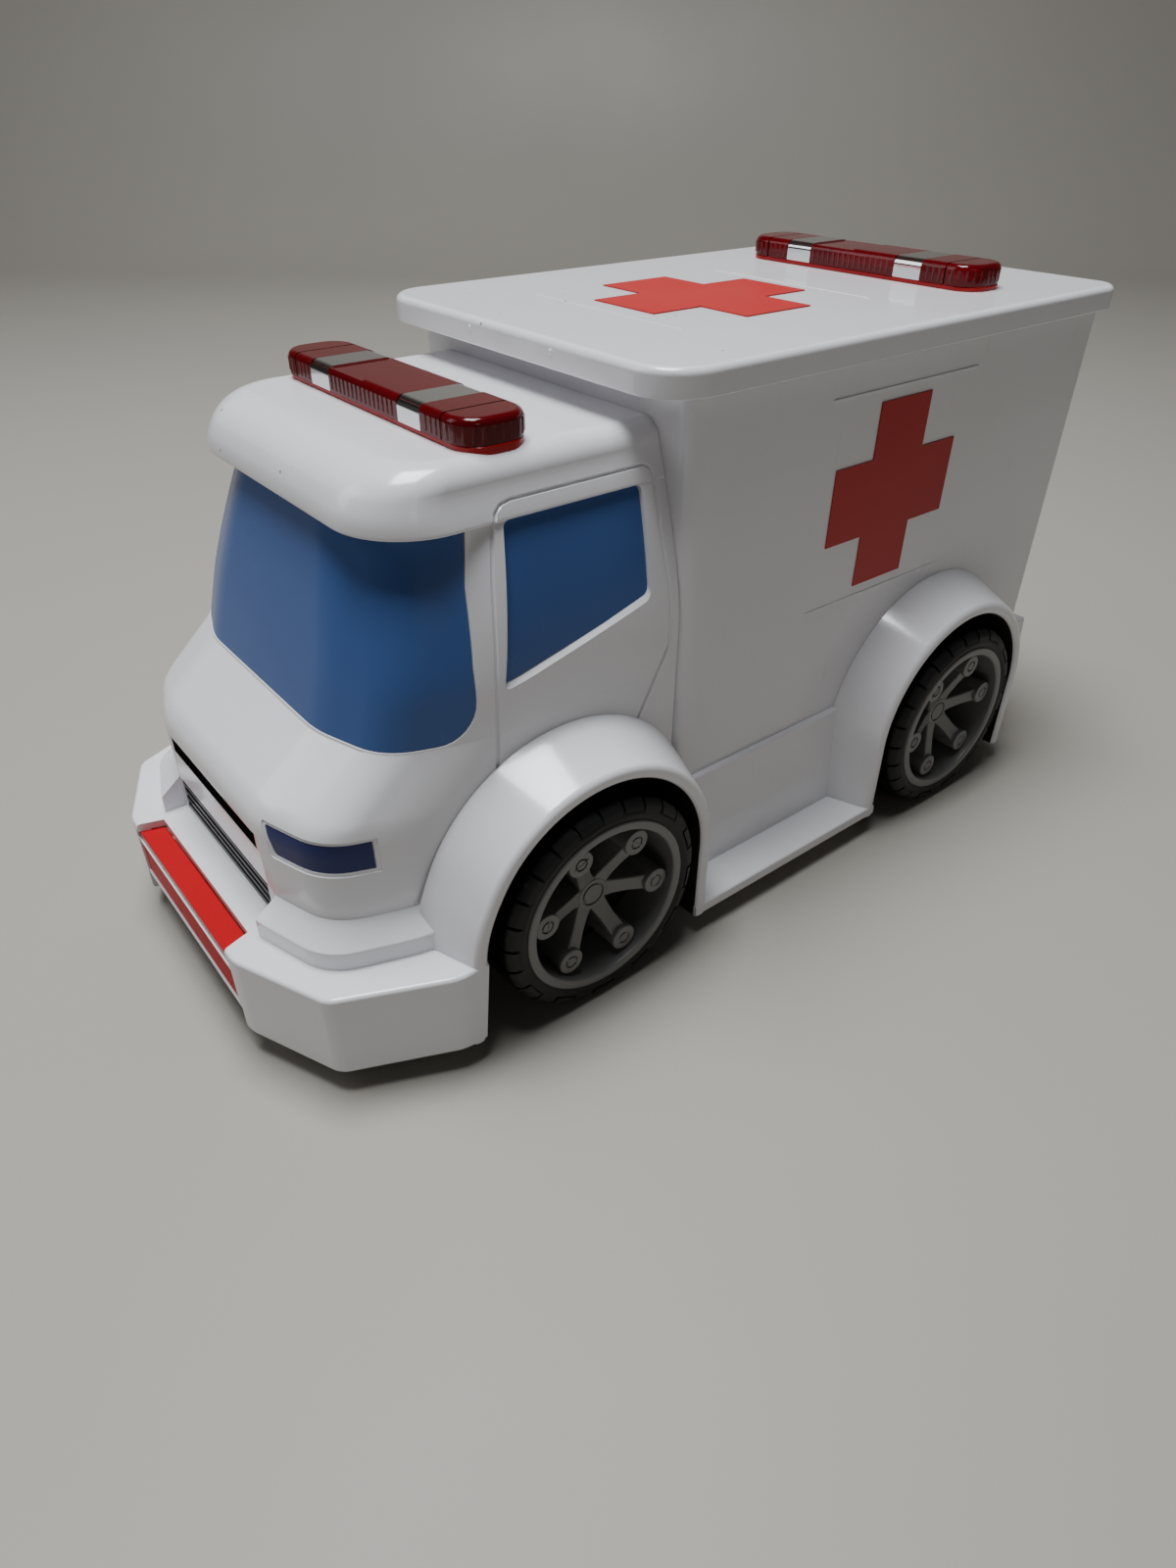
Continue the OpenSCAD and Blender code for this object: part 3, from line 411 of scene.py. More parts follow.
def makeStage(s):
    bm = bmesh.new()
    edges = [bm.edges.new([bm.verts.new((x, -s["size"], 0)) for x in (-s["size"], s["size"])])]
    moves = [(0, s["size"] + s["wallAt"], 0)]
    angles = [math.pi / 2 * i / s["bendSteps"] for i in range(s["bendSteps"] + 1)]
    bend = [Vector((0, math.sin(a), -math.cos(a))) * s["bend"] for a in angles]
    moves += [q - p for p, q in zip(bend, bend[1:])]
    moves.append((0, 0, s["wallHeight"]))
    for move in moves:
        made = bmesh.ops.extrude_edge_only(bm, edges=edges)["geom"]
        bmesh.ops.translate(bm, verts=ofKind(made, BMVert), vec=move)
        edges = [e for e in ofKind(made, BMEdge) if span(e, 0) > s["size"]]
    bmesh.ops.rotate(bm, verts=bm.verts, cent=(0, 0, 0),
                     matrix=Matrix.Rotation(math.radians(s["wallAngle"]), 3, "Z"))
    bmesh.ops.recalc_face_normals(bm, faces=bm.faces)
    for face in bm.faces:
        face.smooth = True
    floor = meshObject("floor", bm)
    floor.data.materials.append(makeFinish("paleFloor", s["look"]))


makeStage(stageSet)

lights = {
    "ceilingSoft": dict(place=(-0.12, -0.1, 1.35), aim=(0, 0, 0.05), size=(0.7, 0.5), power=27.0,
                        color=(0.95, 0.98, 1.0)),
    "windowSoft": dict(place=(-0.9, -1.1, 0.9), aim=(0, 0, 0.08), size=(0.6, 0.9), power=3.2,
                       color=(0.95, 0.97, 1.0)),
    "sideFill": dict(place=(1.3, -0.5, 0.8), aim=(0, 0, 0.08), size=(0.25, 0.5), power=0.4,
                     color=(1.0, 0.96, 0.9)),
}
roomLight = {"Color": (0.8, 0.8, 0.82, 1), "Strength": 0.055}


def makeLight(name, s):
    light = bpy.data.lights.new(name, "AREA")
    light.shape = "RECTANGLE"
    light.size, light.size_y = s["size"]
    light.energy = s["power"]
    light.color = s["color"]
    lamp = linkObject(name, light)
    lamp.location = s["place"]
    lamp.rotation_mode = "QUATERNION"
    lamp.rotation_quaternion = (Vector(s["aim"]) - Vector(s["place"])).to_track_quat("-Z", "Y")


for name, lightSet in lights.items():
    makeLight(name, lightSet)
world = bpy.data.worlds.new("room")
bpy.context.scene.world = world
world.use_nodes = True
fillNode(world.node_tree, world.node_tree.nodes["Background"], roomLight)
print("camera, floor and lights ready")

# cab: three lofted forms joined, hollowed, then cut for its openings, grooves and sticker beds
cab = dict(rear=37.4, half=58.25, wall=2.2, low=32.5, middle=46.0, below=3.0, deckFront=-44.5, deckTop=44.05,
           noseFront=-70.0, face=30.5, edge=50.5, edgeBack=6.5, sideBack=28.0,
           faceRound=5.0, edgeRound=8.0, sideRound=9.0, mitreIn=0.15, mitreOut=0.8,
           bonnetStart=60.0, bonnetRadius=12.0, bonnetTurn=49.0, slopeEnd=(-51.5, 81.9), tuck=-0.03,
           cabinLow=70.0, cabinTop=131.2, screenFoot=(-51.6, 82.0), screenTop=(-37.6, 129.0),
           shoulder=94.0, tumblehome=8.6, tumbleCurve=1.5,
           browLow=128.6, brow=129.0, roof=142.0, roofHalf=50.7, roofFront=-40.8, roofLean=2.5, roofSide=6.0,
           roofBulge=14.0, roofRadius=19.0,
           browSteps=[(0.0, 1.0), (0.12, 0.5), (0.5, 0.14), (1.1, 0.0), (2.9, 0.0), (4.9, 0.0)])


def along(start, end, count):
    return [start + (end - start) * (i / count) for i in range(count)]


def rounding(before, corner, after, length, count):
    first = corner + (before - corner).normalized() * length
    last = corner + (after - corner).normalized() * length
    steps = [i / count for i in range(count)]
    return first, last, [first * (1 - t) ** 2 + corner * (2 * t * (1 - t)) + last * t * t for t in steps]


# plan of the cab: a flat face, two facets on each side of it and the flat sides
def cabPlan(half, front, grow):
    s = cab
    taper = half / s["half"]
    face = Vector((s["face"] * taper ** 2 + grow * s["mitreIn"], front - grow))
    edge = Vector((s["edge"] * taper ** 2 + grow * s["mitreOut"],
                   front + s["edgeBack"] * taper - grow * s["mitreOut"]))
    side = Vector((half + grow, front + s["sideBack"] * taper - grow * s["mitreIn"]))
    rear = Vector((half + grow, s["rear"] + min(grow, 0.0)))
    middle = Vector((0.0, front - grow))
    side0, side1, sideArc = rounding(rear, side, edge, s["sideRound"], 6)
    edge0, edge1, edgeArc = rounding(side, edge, face, s["edgeRound"] * taper ** 2, 12)
    face0, face1, faceArc = rounding(edge, face, middle, s["faceRound"], 6)
    oneSide = [(p.x, p.y) for p in (along(rear, side0, 6) + sideArc + along(side1, edge0, 3) + edgeArc
                                    + along(edge1, face0, 3) + faceArc + along(face1, middle, 6))]
    return oneSide + [(0.0, front - grow)] + mirrored(oneSide)


# plan of the roof: round front corners
def roofPlan(half, front, radius):
    rear = cab["rear"]
    oneSide = [(half, rear + (front + radius - rear) * i / 8) for i in range(8)]
    for i in range(16):
        a = math.pi / 2 * i / 16
        oneSide.append((half - radius + radius * math.cos(a), front + radius - radius * math.sin(a)))
    oneSide += [((half - radius) * (1 - i / 8), front) for i in range(8)]
    return oneSide + [(0.0, front)] + mirrored(oneSide)


def loft(levels):
    bm = bmesh.new()
    z, points = levels[0]
    ring = [bm.verts.new((x, y, z)) for x, y in points]
    edges = [bm.edges.new((ring[i - 1], ring[i])) for i in range(len(ring))]
    bm.faces.new(ring)
    for z, points in levels[1:]:
        made = bmesh.ops.extrude_edge_only(bm, edges=edges)["geom"]
        order = {v: i for i, v in enumerate(ring)}
        ring = [None] * len(points)
        for v in ofKind(made, BMVert):
            i = next(order[e.other_vert(v)] for e in v.link_edges if e.other_vert(v) in order)
            ring[i] = v
            v.co = (*points[i], z)
        edges = [bm.edges.get((ring[i - 1], ring[i])) for i in range(len(ring))]
    bm.faces.new(ring)
    bmesh.ops.recalc_face_normals(bm, faces=bm.faces)
    return bm


def noseForm(grow, low=cab["low"]):
    s = cab
    radius = s["bonnetRadius"] + grow
    levels = [(z, cabPlan(s["half"], s["noseFront"], grow)) for z in (low, s["middle"], s["bonnetStart"])]
    steps = 8
    for i in range(1, steps + 1):
        a = math.radians(s["bonnetTurn"] * i / steps)
        z, front = s["bonnetStart"] + radius * math.sin(a), s["noseFront"] + radius * (1 - math.cos(a))
        levels.append((z, cabPlan(s["half"], front, grow)))
    endFront, endZ = s["slopeEnd"]
    for t in (0.25, 0.5, 0.75, 1.0):
        levels.append((z + (endZ + grow - z) * t,
                       cabPlan(s["half"] - s["tuck"] * t, front + (endFront - front) * t, grow)))
    return loft(levels)


def cabinHalf(z):
    s = cab
    t = max(0.0, (z - s["shoulder"]) / (s["cabinTop"] - s["shoulder"]))
    return s["half"] - s["tumblehome"] * t ** s["tumbleCurve"]


def screenLine(z):
    (footY, footZ), (topY, topZ) = cab["screenFoot"], cab["screenTop"]
    return footY + (z - footZ) * (topY - footY) / (topZ - footZ)


def cabinForm(grow):
    s = cab
    count = 20
    heights = [s["cabinLow"] + (s["cabinTop"] - s["cabinLow"]) * i / count for i in range(count + 1)]
    return loft([(z, cabPlan(cabinHalf(z), screenLine(z), grow)) for z in heights])


# how far the roof's side leans in at a height below its rounded edge
def roofIn(z):
    s = cab
    return s["roofLean"] * max(0.0, z - s["brow"]) / (s["roof"] - s["roofSide"] - s["brow"])


def roofForm():
    s = cab
    leanTop = s["roof"] - s["roofSide"]

    def level(z, side, back):
        share = min(1.0, max(0.0, z - s["brow"]) / (s["roof"] - s["brow"]))
        front = s["roofBulge"] * (1 - math.sqrt(1 - share ** 2)) + back
        return z, roofPlan(s["roofHalf"] - side, s["roofFront"] + front, s["roofRadius"] - side)

    rises = [(s["browLow"] + up, back) for up, back in s["browSteps"]] + [(leanTop, 0.0)]
    levels = [level(z, roofIn(z) + back, back) for z, back in rises]
    steps = 10
    for i in range(1, steps + 1):
        a = math.pi / 2 * i / steps
        side = s["roofLean"] + s["roofSide"] * (1 - math.cos(a))
        levels.append(level(leanTop + s["roofSide"] * math.sin(a), side, 0.0))
    return loft(levels)


archRoom = dict(start=48.0, radius=37.0)


# a wheel arch with straight legs, on the left side
def archTool(x0, x1, y, radius, low):
    points = [(x0, y - radius, low), (x0, y + radius, low),
              (x0, y + radius, archHeight + radius), (x0, y - radius, archHeight + radius)]
    return prism(points, (x1 - x0, 0, 0), radius * 0.9995, 24, corners=(2, 3))


# cuts the cab and the tub clear of the wheel arches
def archCut(y):
    return bothSides(archTool(archRoom["start"], far, y, archRoom["radius"], 0.0))


# a round tool that follows a line on the surface
def lineTool(points, radius):
    curve = bpy.data.curves.new("line", "CURVE")
    curve.dimensions = "3D"
    curve.bevel_depth = radius
    curve.bevel_resolution = 2
    curve.use_fill_caps = True
    spline = curve.splines.new("POLY")
    spline.points.add(len(points) - 1)
    for point, place in zip(spline.points, points):
        point.co = (*place, 1)
    line = linkObject("line", curve)
    mesh = bpy.data.meshes.new_from_object(line.evaluated_get(bpy.context.evaluated_depsgraph_get()))
    bm = bmesh.new()
    bm.from_mesh(mesh)
    bpy.data.objects.remove(line)
    bpy.data.curves.remove(curve)
    bpy.data.meshes.remove(mesh)
    return outward(bm)


# window outlines drawn in side view, as (y, z); the lamps drawn from the front, as (x, z)
windows = dict(
    door=[(-15.9, 93.7), (28.4, 103.0), (29.9, 128.9), (-9.2, 128.9)], doorRadius=1.6, doorDepth=1.4,
    doorStart=40.0, doorReach=30.0, sillBand=3.0, sillSlope=0.9, frontLean=0.19, rearLean=0.058,
    screen=[(-80.0, 82.4), (-23.4, 82.4), (-22.6, 100.0), (-20.4, 117.0), (-17.2, 128.9), (-80.0, 128.9)],
    screenHalf=80.0, screenRadius=9.5, screenDepth=0.5,
    lamp=[(35.2, 56.4), (66.0, 56.4), (66.0, 64.2), (32.4, 64.2)], lampFront=-78.0, lampRear=-51.5,
    lampRadius=0.8, lampDepth=0.8, lampRim=0.9, lampRimDepth=0.35,
    proud=0.9, filmThickness=0.26, filmLift=0.03, filmInset=0.2)


def boxOf(bm):
    places = [v.co for v in bm.verts]
    return (Vector([min(p[i] for p in places) for i in range(3)]),
            Vector([max(p[i] for p in places) for i in range(3)]))


def shrunk(bm, inset):
    low, high = boxOf(bm)
    middle = (low + high) / 2
    bmesh.ops.transform(bm, verts=bm.verts, matrix=Matrix.Translation(middle) @ Matrix.Diagonal(
        [(n - 2 * inset) / n for n in high - low] + [1]) @ Matrix.Translation(-middle))
    return bm


# the lower edge of a door window slopes outwards as a sill
def doorTool(sill=True):
    s = windows
    bm = prism([(s["doorStart"], y, z) for y, z in s["door"]], (s["doorReach"], 0, 0), s["doorRadius"])
    (y0, z0), (y1, z1) = s["door"][:2]
    floor = cab["half"] - s["doorDepth"]
    for v in bm.verts:
        edge = z0 + (z1 - z0) * (v.co.y - y0) / (y1 - y0)
        if sill and v.co.z < edge + s["sillBand"]:
            drop = (v.co.x - floor) * s["sillSlope"]
            v.co.z -= drop
            v.co.y -= drop * (s["frontLean"] if v.co.y < (y0 + y1) / 2 else s["rearLean"])
    return outward(bm)


def screenTool():
    s = windows
    half = s["screenHalf"]
    outline = [(-half, y, z) for y, z in s["screen"]]
    return prism(outline, (2 * half, 0, 0), s["screenRadius"], 8, corners=(1,))


def lampTool(grow):
    s = windows
    (x0, low), (x1, _), (_, top), (x2, _) = s["lamp"]
    outline = [(x0 - grow, low - grow), (x1, low - grow), (x1, top + grow), (x2 - grow, top + grow)]
    return prism([(x, s["lampFront"], z) for x, z in outline], (0, s["lampRear"] + grow - s["lampFront"], 0),
                 s["lampRadius"], 3, corners=(0, 3))


doorLine = dict(
    points=[(-19.4, 70.0), (-18.6, 84.0), (-17.9, 96.0), (-16.2, 108.0), (-14.4, 118.0), (-11.9, 128.5),
            (-11.7, 129.1), (-11.0, 131.0), (-9.2, 132.4), (-6.5, 132.9), (31.6, 132.9), (33.2, 132.0),
            (33.7, 130.0), (33.6, 118.0), (34.6, 104.0), (34.7, 90.0), (33.6, 87.0), (24.0, 69.0)],
    radius=0.6, sink=0.05, step=2.0)


# how far out the cab's left side is at a place on its side view
def surfaceX(y, z):
    roofX = cab["roofHalf"] - roofIn(z) if z > cab["browLow"] else 0.0
    if z > cab["cabinTop"]:
        return roofX
    plan = [p for p in cabPlan(cabinHalf(z), screenLine(z), 0.0) if p[0] > 0]
    for (x0, y0), (x1, y1) in zip(plan, plan[1:]):
        if y0 >= y > y1:
            return max(roofX, x0 + (x1 - x0) * (y - y0) / (y1 - y0))
    return max(roofX, cabinHalf(z))


def densify(points, step):
    dense = []
    for (y0, z0), (y1, z1) in zip(points, points[1:]):
        count = max(1, int(math.hypot(y1 - y0, z1 - z0) / step))
        dense += [(y0 + (y1 - y0) * i / count, z0 + (z1 - z0) * i / count) for i in range(count)]
    return dense + [points[-1]]


# openings in the fascia, as (half width, low, top), and the black insert behind them
fascia = dict(panel=(29.4, 33.3, 59.4), panelDepth=0.3, grille=(29.0, 33.5, 44.0), slot=(27.6, 53.8, 59.4),
              ahead=5.0, through=6.0, bars=4, barDepth=0.35, barShare=0.32, barGap=0.2, barRound=0.45,
              slotDepth=0.33, slotGap=0.1, plateSide=2.0, plateEdge=0.4, plateGap=0.05, plateThick=1.2,
              root=0.4, soft=0.2)


def skinOf(form, inner, outer):
    return cut(form(outer), form(inner))


def makeCab():
    s = cab
    front = s["noseFront"]
    shell = fuse(noseForm(0.0), cabinForm(0.0), roofForm())
    shell = cut(shell, noseForm(-s["wall"], s["low"] - s["below"]), cabinForm(-s["wall"]),
                block((-far, s["deckFront"], 0), (far, far, s["deckTop"])), archCut(0.0))
    for opening, depth in (("panel", "panelDepth"), ("grille", "through"), ("slot", "through")):
        half, low, top = fascia[opening]
        shell = cut(shell, block((-half, front - fascia["ahead"], low), (half, front + fascia[depth], top)))
    print("cab shell formed")
    beds = [(bothSides(doorTool()), cabinForm, "doorDepth"), (screenTool(), cabinForm, "screenDepth"),
            (bothSides(lampTool(windows["lampRim"])), noseForm, "lampRimDepth"),
            (bothSides(lampTool(0.0)), noseForm, "lampDepth")]
    for tool, form, depth in beds:
        shell = cut(shell, combine(skinOf(form, -windows[depth], windows["proud"]), tool, "INTERSECT"))
    line = densify(doorLine["points"], doorLine["step"])
    path = [(surfaceX(y, z) + doorLine["sink"], y, z) for y, z in line]
    shell = cut(shell, bothSides(lineTool(path, doorLine["radius"])))
    bmesh.ops.remove_doubles(shell, verts=shell.verts, dist=weld)
    print("cab cut, faces:", len(shell.faces))
    placePiece("cab", shell, "body", ["whitePlastic"], ["cab_shell"])


def makeFilms():
    s = windows

    def film(tool, form, depth):
        inner = s["filmLift"] - depth
        return combine(tool, skinOf(form, inner, inner + s["filmThickness"]), "INTERSECT")

    def placeSides(name, left, look, node):
        for side, bm in (("left", left), ("right", copyOf(left, acrossCar))):
            placePiece(side + name, bm, "body", [look], [side + "_" + node])

    door = film(shrunk(doorTool(False), s["filmInset"]), cabinForm, s["doorDepth"])
    placeSides("DoorWindow", door, "blueSticker", "door_window")
    screen = film(shrunk(screenTool(), s["filmInset"]), cabinForm, s["screenDepth"])
    placePiece("windscreenFilm", screen, "body", ["blueSticker"], ["windscreen"])
    lamp = film(lampTool(-s["filmInset"]), noseForm, s["lampDepth"])
    placeSides("Headlight", lamp, "navySticker", "headlight")
    print("window and lamp films placed")


def makeGrille():
    s = fascia
    half, low, top = s["grille"]
    slotHalf, slotLow, slotTop = s["slot"]
    front, back = cab["noseFront"], cab["noseFront"] + cab["wall"]
    side = half + s["plateSide"]
    parts = [softBlock((-side, back + s["plateGap"], low - s["plateEdge"]),
                       (side, back + s["plateThick"], slotTop + s["plateEdge"]), s["soft"])]
    pitch = (top - low) / s["bars"]
    side = half - s["barGap"]
    for i in range(s["bars"]):
        z = low + pitch * (i + 0.5)
        parts.append(softBlock((-side, front + s["barDepth"], z - pitch * s["barShare"]),
                               (side, back + s["root"], z + pitch * s["barShare"]), s["barRound"], 3))
    placePiece("grilleBars", joined(*parts), "body", ["blackPlastic"], ["grille"])
    side = slotHalf - s["slotGap"]
    slot = softBlock((-side, front + s["slotDepth"], slotLow + s["slotGap"]),
                     (side, back + s["root"], slotTop - s["slotGap"]), s["soft"])
    placePiece("fasciaSlot", slot, "body", ["slotBlack"], ["grille"])


makeCab()
makeFilms()
makeGrille()

# lower body: bumper, rockers and boards cut by the wheel wells, with fenders spun over them
lower = dict(skirt=7.0, deck=44.0, wall=2.2, below=5.0, coreLow=63.05, coreTop=61.05, core=(-44.4, 212.8),
             coreRound=0.8, bumper=[(36.5, -84.4), (63.0, -72.7), (75.75, -44.4), (75.75, -34.6)],
             bumperTop=32.5, bumperCorner=2.2, bumperEdge=1.1, bumperFoot=1.2, bumperWall=3.4,
             bumperInside=(71.35, -36.8), half=75.75, boardTop=10.7, boardEnd=2.0, boardRound=0.7,
             wellIn=50.45, archIn=34.6, archOut=38.2, flare=44.4, linerOut=36.8, linerEnd=60.2,
             axleSlot=4.0, slotOut=1.0, fenderIn=58.35, rearFenderIn=59.35, fenderRound=1.3, fenderSteps=56,
             sweep=3.6, sweepTop=49.5, tubRoomEnd=82.0, shadeReach=0.3, shadeIn=3.0, shadeRim=0.9,
             tier=[(31.5, 6.1), (33.1, 6.1), (37.1, 6.1), (37.7, 5.98), (38.15, 5.55), (42.5, 0.05),
                   (43.2377, -0.95)], tierCore=0.05, tierStart=32.5, cornerTop=60.0)


# how far the front leg of the front arch sweeps forward at a place on the side view
def archSweep(y, z):
    s = lower
    share = max(0.0, (s["sweepTop"] - z) / (s["sweepTop"] - s["skirt"]))
    return s["sweep"] * share * min(1.0, max(0.0, -y / s["archIn"]))


def swept(bm):
    for v in bm.verts:
        v.co.y -= archSweep(v.co.y, v.co.z)
    return bm


def fenderForm(y, inner):
    s = lower
    bm = bmesh.new()
    section = [(s["wellIn"], s["archIn"]), (s["half"], s["archIn"]), (s["half"], s["archOut"]),
               (inner, s["flare"]), (inner, s["linerOut"]), (s["wellIn"], s["linerOut"])]
    face = roundedFace(bm, [(x, y - r, archHeight) for x, r in section], (1, 2), s["fenderRound"], 5)
    made = spinFace(bm, face, -math.pi, s["fenderSteps"], (0, y, archHeight))
    for end in (face, ofKind(made, BMFace)[0]):
        pull(bm, end, (0, 0, s["skirt"] - archHeight))
    return outward(dropInner(bm))


# the stepped corner between bumper and nose: tier gives heights and distances from the cab
def tierForm():
    s = lower

    def plan(grow):
        return cabPlan(cab["half"], cab["noseFront"], grow)

    form = loft([(z, plan(grow)) for z, grow in s["tier"]])
    core = loft([(z, plan(s["tierCore"])) for z in (s["tier"][0][0] - past, s["tier"][-1][0] + past)])
    return combine(cut(form, core), block((s["tierStart"], -far, 0), (far, -s["archOut"], far)), "INTERSECT")


def bumperForm():
    s = lower
    plan = mirrored(s["bumper"]) + s["bumper"]
    bm = bmesh.new()
    face = roundedFace(bm, [(x, y, s["skirt"]) for x, y in plan], range(1, 7), s["bumperCorner"], 5)
    top = pull(bm, face, (0, 0, s["bumperTop"] - s["skirt"]))
    rear = plan[-1][1]
    foot = [e for e in bm.edges if atHeight(e, s["skirt"])]
    for edges, width in ((list(top.edges), s["bumperEdge"]), (foot, s["bumperFoot"])):
        roundEdges(bm, [e for e in edges if e.is_valid and min(v.co.y for v in e.verts) < rear - 1], width, 4)
    return outward(bm)


def coreForm(inset, low, radius):
    s = lower
    front, rear = s["core"][0] + inset, s["core"][1] - inset
    wide, narrow, top = s["coreLow"] - inset, s["coreTop"] - inset, s["deck"] - inset
    return prism([(-wide, front, low), (wide, front, low), (narrow, front, top), (-narrow, front, top)],
                 (0, rear - front, 0), radius, 3, corners=(2, 3))


def makeLowerBody():
    s = lower
    board = softBlock((-s["half"], -s["boardEnd"], s["skirt"]),
                      (s["half"], wheelbase + s["boardEnd"], s["boardTop"]), s["boardRound"], 3)
    inner = [(x - s["bumperWall"], y + s["bumperWall"]) for x, y in s["bumper"][:3]] + [s["bumperInside"]]
    inside = prism([(x, y, s["below"]) for x, y in mirrored(inner) + inner],
                   (0, 0, s["bumperTop"] - s["wall"] - s["below"]))
    body = fuse(coreForm(0.0, s["skirt"], s["coreRound"]), bumperForm(), board)
    body = cut(body, coreForm(s["wall"], s["below"], 0.0), inside)
    for y in (0.0, wheelbase):
        liner = archTool(s["wellIn"] - s["wall"], s["linerEnd"], y, s["linerOut"], s["skirt"])
        body = fuse(body, bothSides(swept(liner)))
    for y in (0.0, wheelbase):
        well = archTool(s["wellIn"], far, y, s["archIn"] + hair, 0.0)
        slot = block((s["wellIn"] - s["axleSlot"], y - s["axleSlot"], 0),
                     (s["wellIn"] + s["slotOut"], y + s["axleSlot"], axleHeight + s["axleSlot"]))
        body = cut(body, bothSides(swept(well)), bothSides(slot))
    plan = cabPlan(cab["half"], cab["noseFront"], -hair)
    corner = block((-far, cab["noseFront"], s["bumperTop"]), (far, -s["archOut"], s["cornerTop"]))
    body = cut(body, cut(corner, loft([(0, plan), (far, plan)])))
    body = fuse(body, bothSides(tierForm()), bothSides(swept(fenderForm(0.0, s["fenderIn"]))),
                bothSides(fenderForm(wheelbase, s["rearFenderIn"])))
    tubRoom = block((-s["rearFenderIn"], cab["rear"], s["deck"]), (s["rearFenderIn"], s["tubRoomEnd"], far))
    body = cut(body, tubRoom, *padTools())
    bmesh.ops.remove_doubles(body, verts=body.verts, dist=weld)
    print("lower body formed, faces:", len(body.faces))
    # faces inside the wheel wells get the second finish, a near-black painted shade
    for face in body.faces:
        middle = face.calc_center_median()
        middle.y += archSweep(middle.y, middle.z)
        reach = min(math.hypot(middle.y - y, middle.z - archHeight) for y in (0.0, wheelbase))
        level = min(abs(middle.y), abs(middle.y - wheelbase))
        edge = s["archIn"] + s["shadeReach"]
        around = reach < edge or (middle.z < archHeight and level < edge)
        inWell = s["wellIn"] - s["shadeIn"] < abs(middle.x) < s["half"] - s["shadeRim"]
        face.material_index = int(around and inWell)
    placePiece("lowerBody", body, "body", ["whitePlastic", "paintedWellShade"], ["lower_body"])


pads = dict(face=-83.9, top=30.0, front=33.5, rear=29.5, depth=6.7, upperLow=27.3, lowerTop=26.9,
            lowerLow=14.9, thick=1.2, gap=0.08, stripDown=0.3, edge=0.35, notch=34.6, notchTop=14.4,
            notchBack=-80.9, bedUp=12.0)


def padPlan(front, inset):
    s = pads
    back = s["face"] + s["depth"] - inset
    return [(-s["front"] + inset, front), (s["front"] - inset, front), (s["rear"] - inset, back),
            (-s["rear"] + inset, back)]


# beds for the two pads, and the notch under them
def padTools():
    s = pads
    back = s["face"] + s["thick"]
    return [prism([(x, y, s["top"] - s["thick"]) for x, y in padPlan(-far, 0.0)], (0, 0, s["bedUp"])),
            block((-s["front"], -far, s["upperLow"]), (s["front"], back, s["top"])),
            block((-s["front"], -far, s["lowerLow"]), (s["front"], back, s["lowerTop"])),
            block((-s["notch"], -far, 0), (s["notch"], s["notchBack"], s["notchTop"]))]


def makePads():
    s = pads
    thick, half = s["thick"] - s["gap"], s["front"] - s["gap"]
    upper = prism([(x, y, s["top"] - thick) for x, y in padPlan(s["face"], s["gap"])], (0, 0, thick))
    upper = fuse(upper, block((-half, s["face"], s["upperLow"] + s["gap"]),
                              (half, s["face"] + thick, s["top"] - s["stripDown"])))
    roundEdges(upper, [e for e in upper.edges if atHeight(e, s["top"])], s["edge"], 3)
    placePiece("upperPad", outward(upper), "body", ["redPlastic"], ["upper_bumper_pad"])
    low = softBlock((-half, s["face"], s["lowerLow"] + s["gap"]),
                    (half, s["face"] + thick, s["lowerTop"] - s["gap"]), s["edge"], 3)
    # the lower pad gets the shaded copy of the pad red, as painted shade
    placePiece("lowerPad", low, "body", ["redShadedCopy"], ["lower_bumper_pad"])


makeLowerBody()
makePads()

tub = dict(half=59.25, front=37.5, rear=211.0, low=44.05, top=153.6, wall=2.2, floor=70.5, corner=5.0,
           innerCorner=3.9, lines=[(140.7, 86.0, 148.0), (82.0, 86.0, 148.0)], lineRoot=0.5, lineProud=0.3,
           lineHeight=0.6, lineRound=0.12)


def uprightBox(half, front, rear, low, top, corner):
    return prism(rectangle(half, front, rear, low), (0, 0, top - low), corner, 8)


def makeTub():
    s = tub
    w = s["wall"]
    inside = (s["half"] - w, s["front"] + w, s["rear"] - w)
    body = uprightBox(s["half"], s["front"], s["rear"], s["low"], s["top"], s["corner"])
    body = cut(body, uprightBox(*inside, s["floor"] + w, s["top"] + past, s["innerCorner"]),
               uprightBox(*inside, 0, s["floor"], s["innerCorner"]), archCut(wheelbase))
    for z, start, end in s["lines"]:
        rib = softBlock((s["half"] - s["lineRoot"], start, z - s["lineHeight"] / 2),
                        (s["half"] + s["lineProud"], end, z + s["lineHeight"] / 2), s["lineRound"])
        body = fuse(body, bothSides(rib))
    placePiece("tub", body, "body", ["whitePlastic"], ["box_tub"])


lid = dict(half=62.65, front=26.6, rear=214.1, low=149.3, top=156.1, under=153.7, frontCorner=13.0,
           rearCorner=8.1, edge=1.9, rim=0.5, wall=2.2, lipHalf=56.65, lipFront=40.1, lipRear=208.4,
           lipLow=148.7, lip=1.6, lipCorner=5.0, lines=[59.5, 131.2], lineHalf=31.0, lineWide=0.3,
           lineRoot=0.4, lineProud=0.14, lineRound=0.1, nubs=[-15.0, 20.0], nubRadius=0.9, nubIn=0.45,
           nubHeight=153.4, lipTop=154.7)


def lidBlank(inset, low, top):
    s = lid
    half, front, rear = s["half"] - inset, s["front"] + inset, s["rear"] - inset
    bm = bmesh.new()
    roundedFace(bm, rectangle(half, front, rear, low), (0, 1), s["frontCorner"] - inset, 12)
    roundCorners(bm, [v for v in bm.verts if v.co.y > rear - 0.01], s["rearCorner"] - inset, 10)
    return bm, pull(bm, next(iter(bm.faces)), (0, 0, top - low))


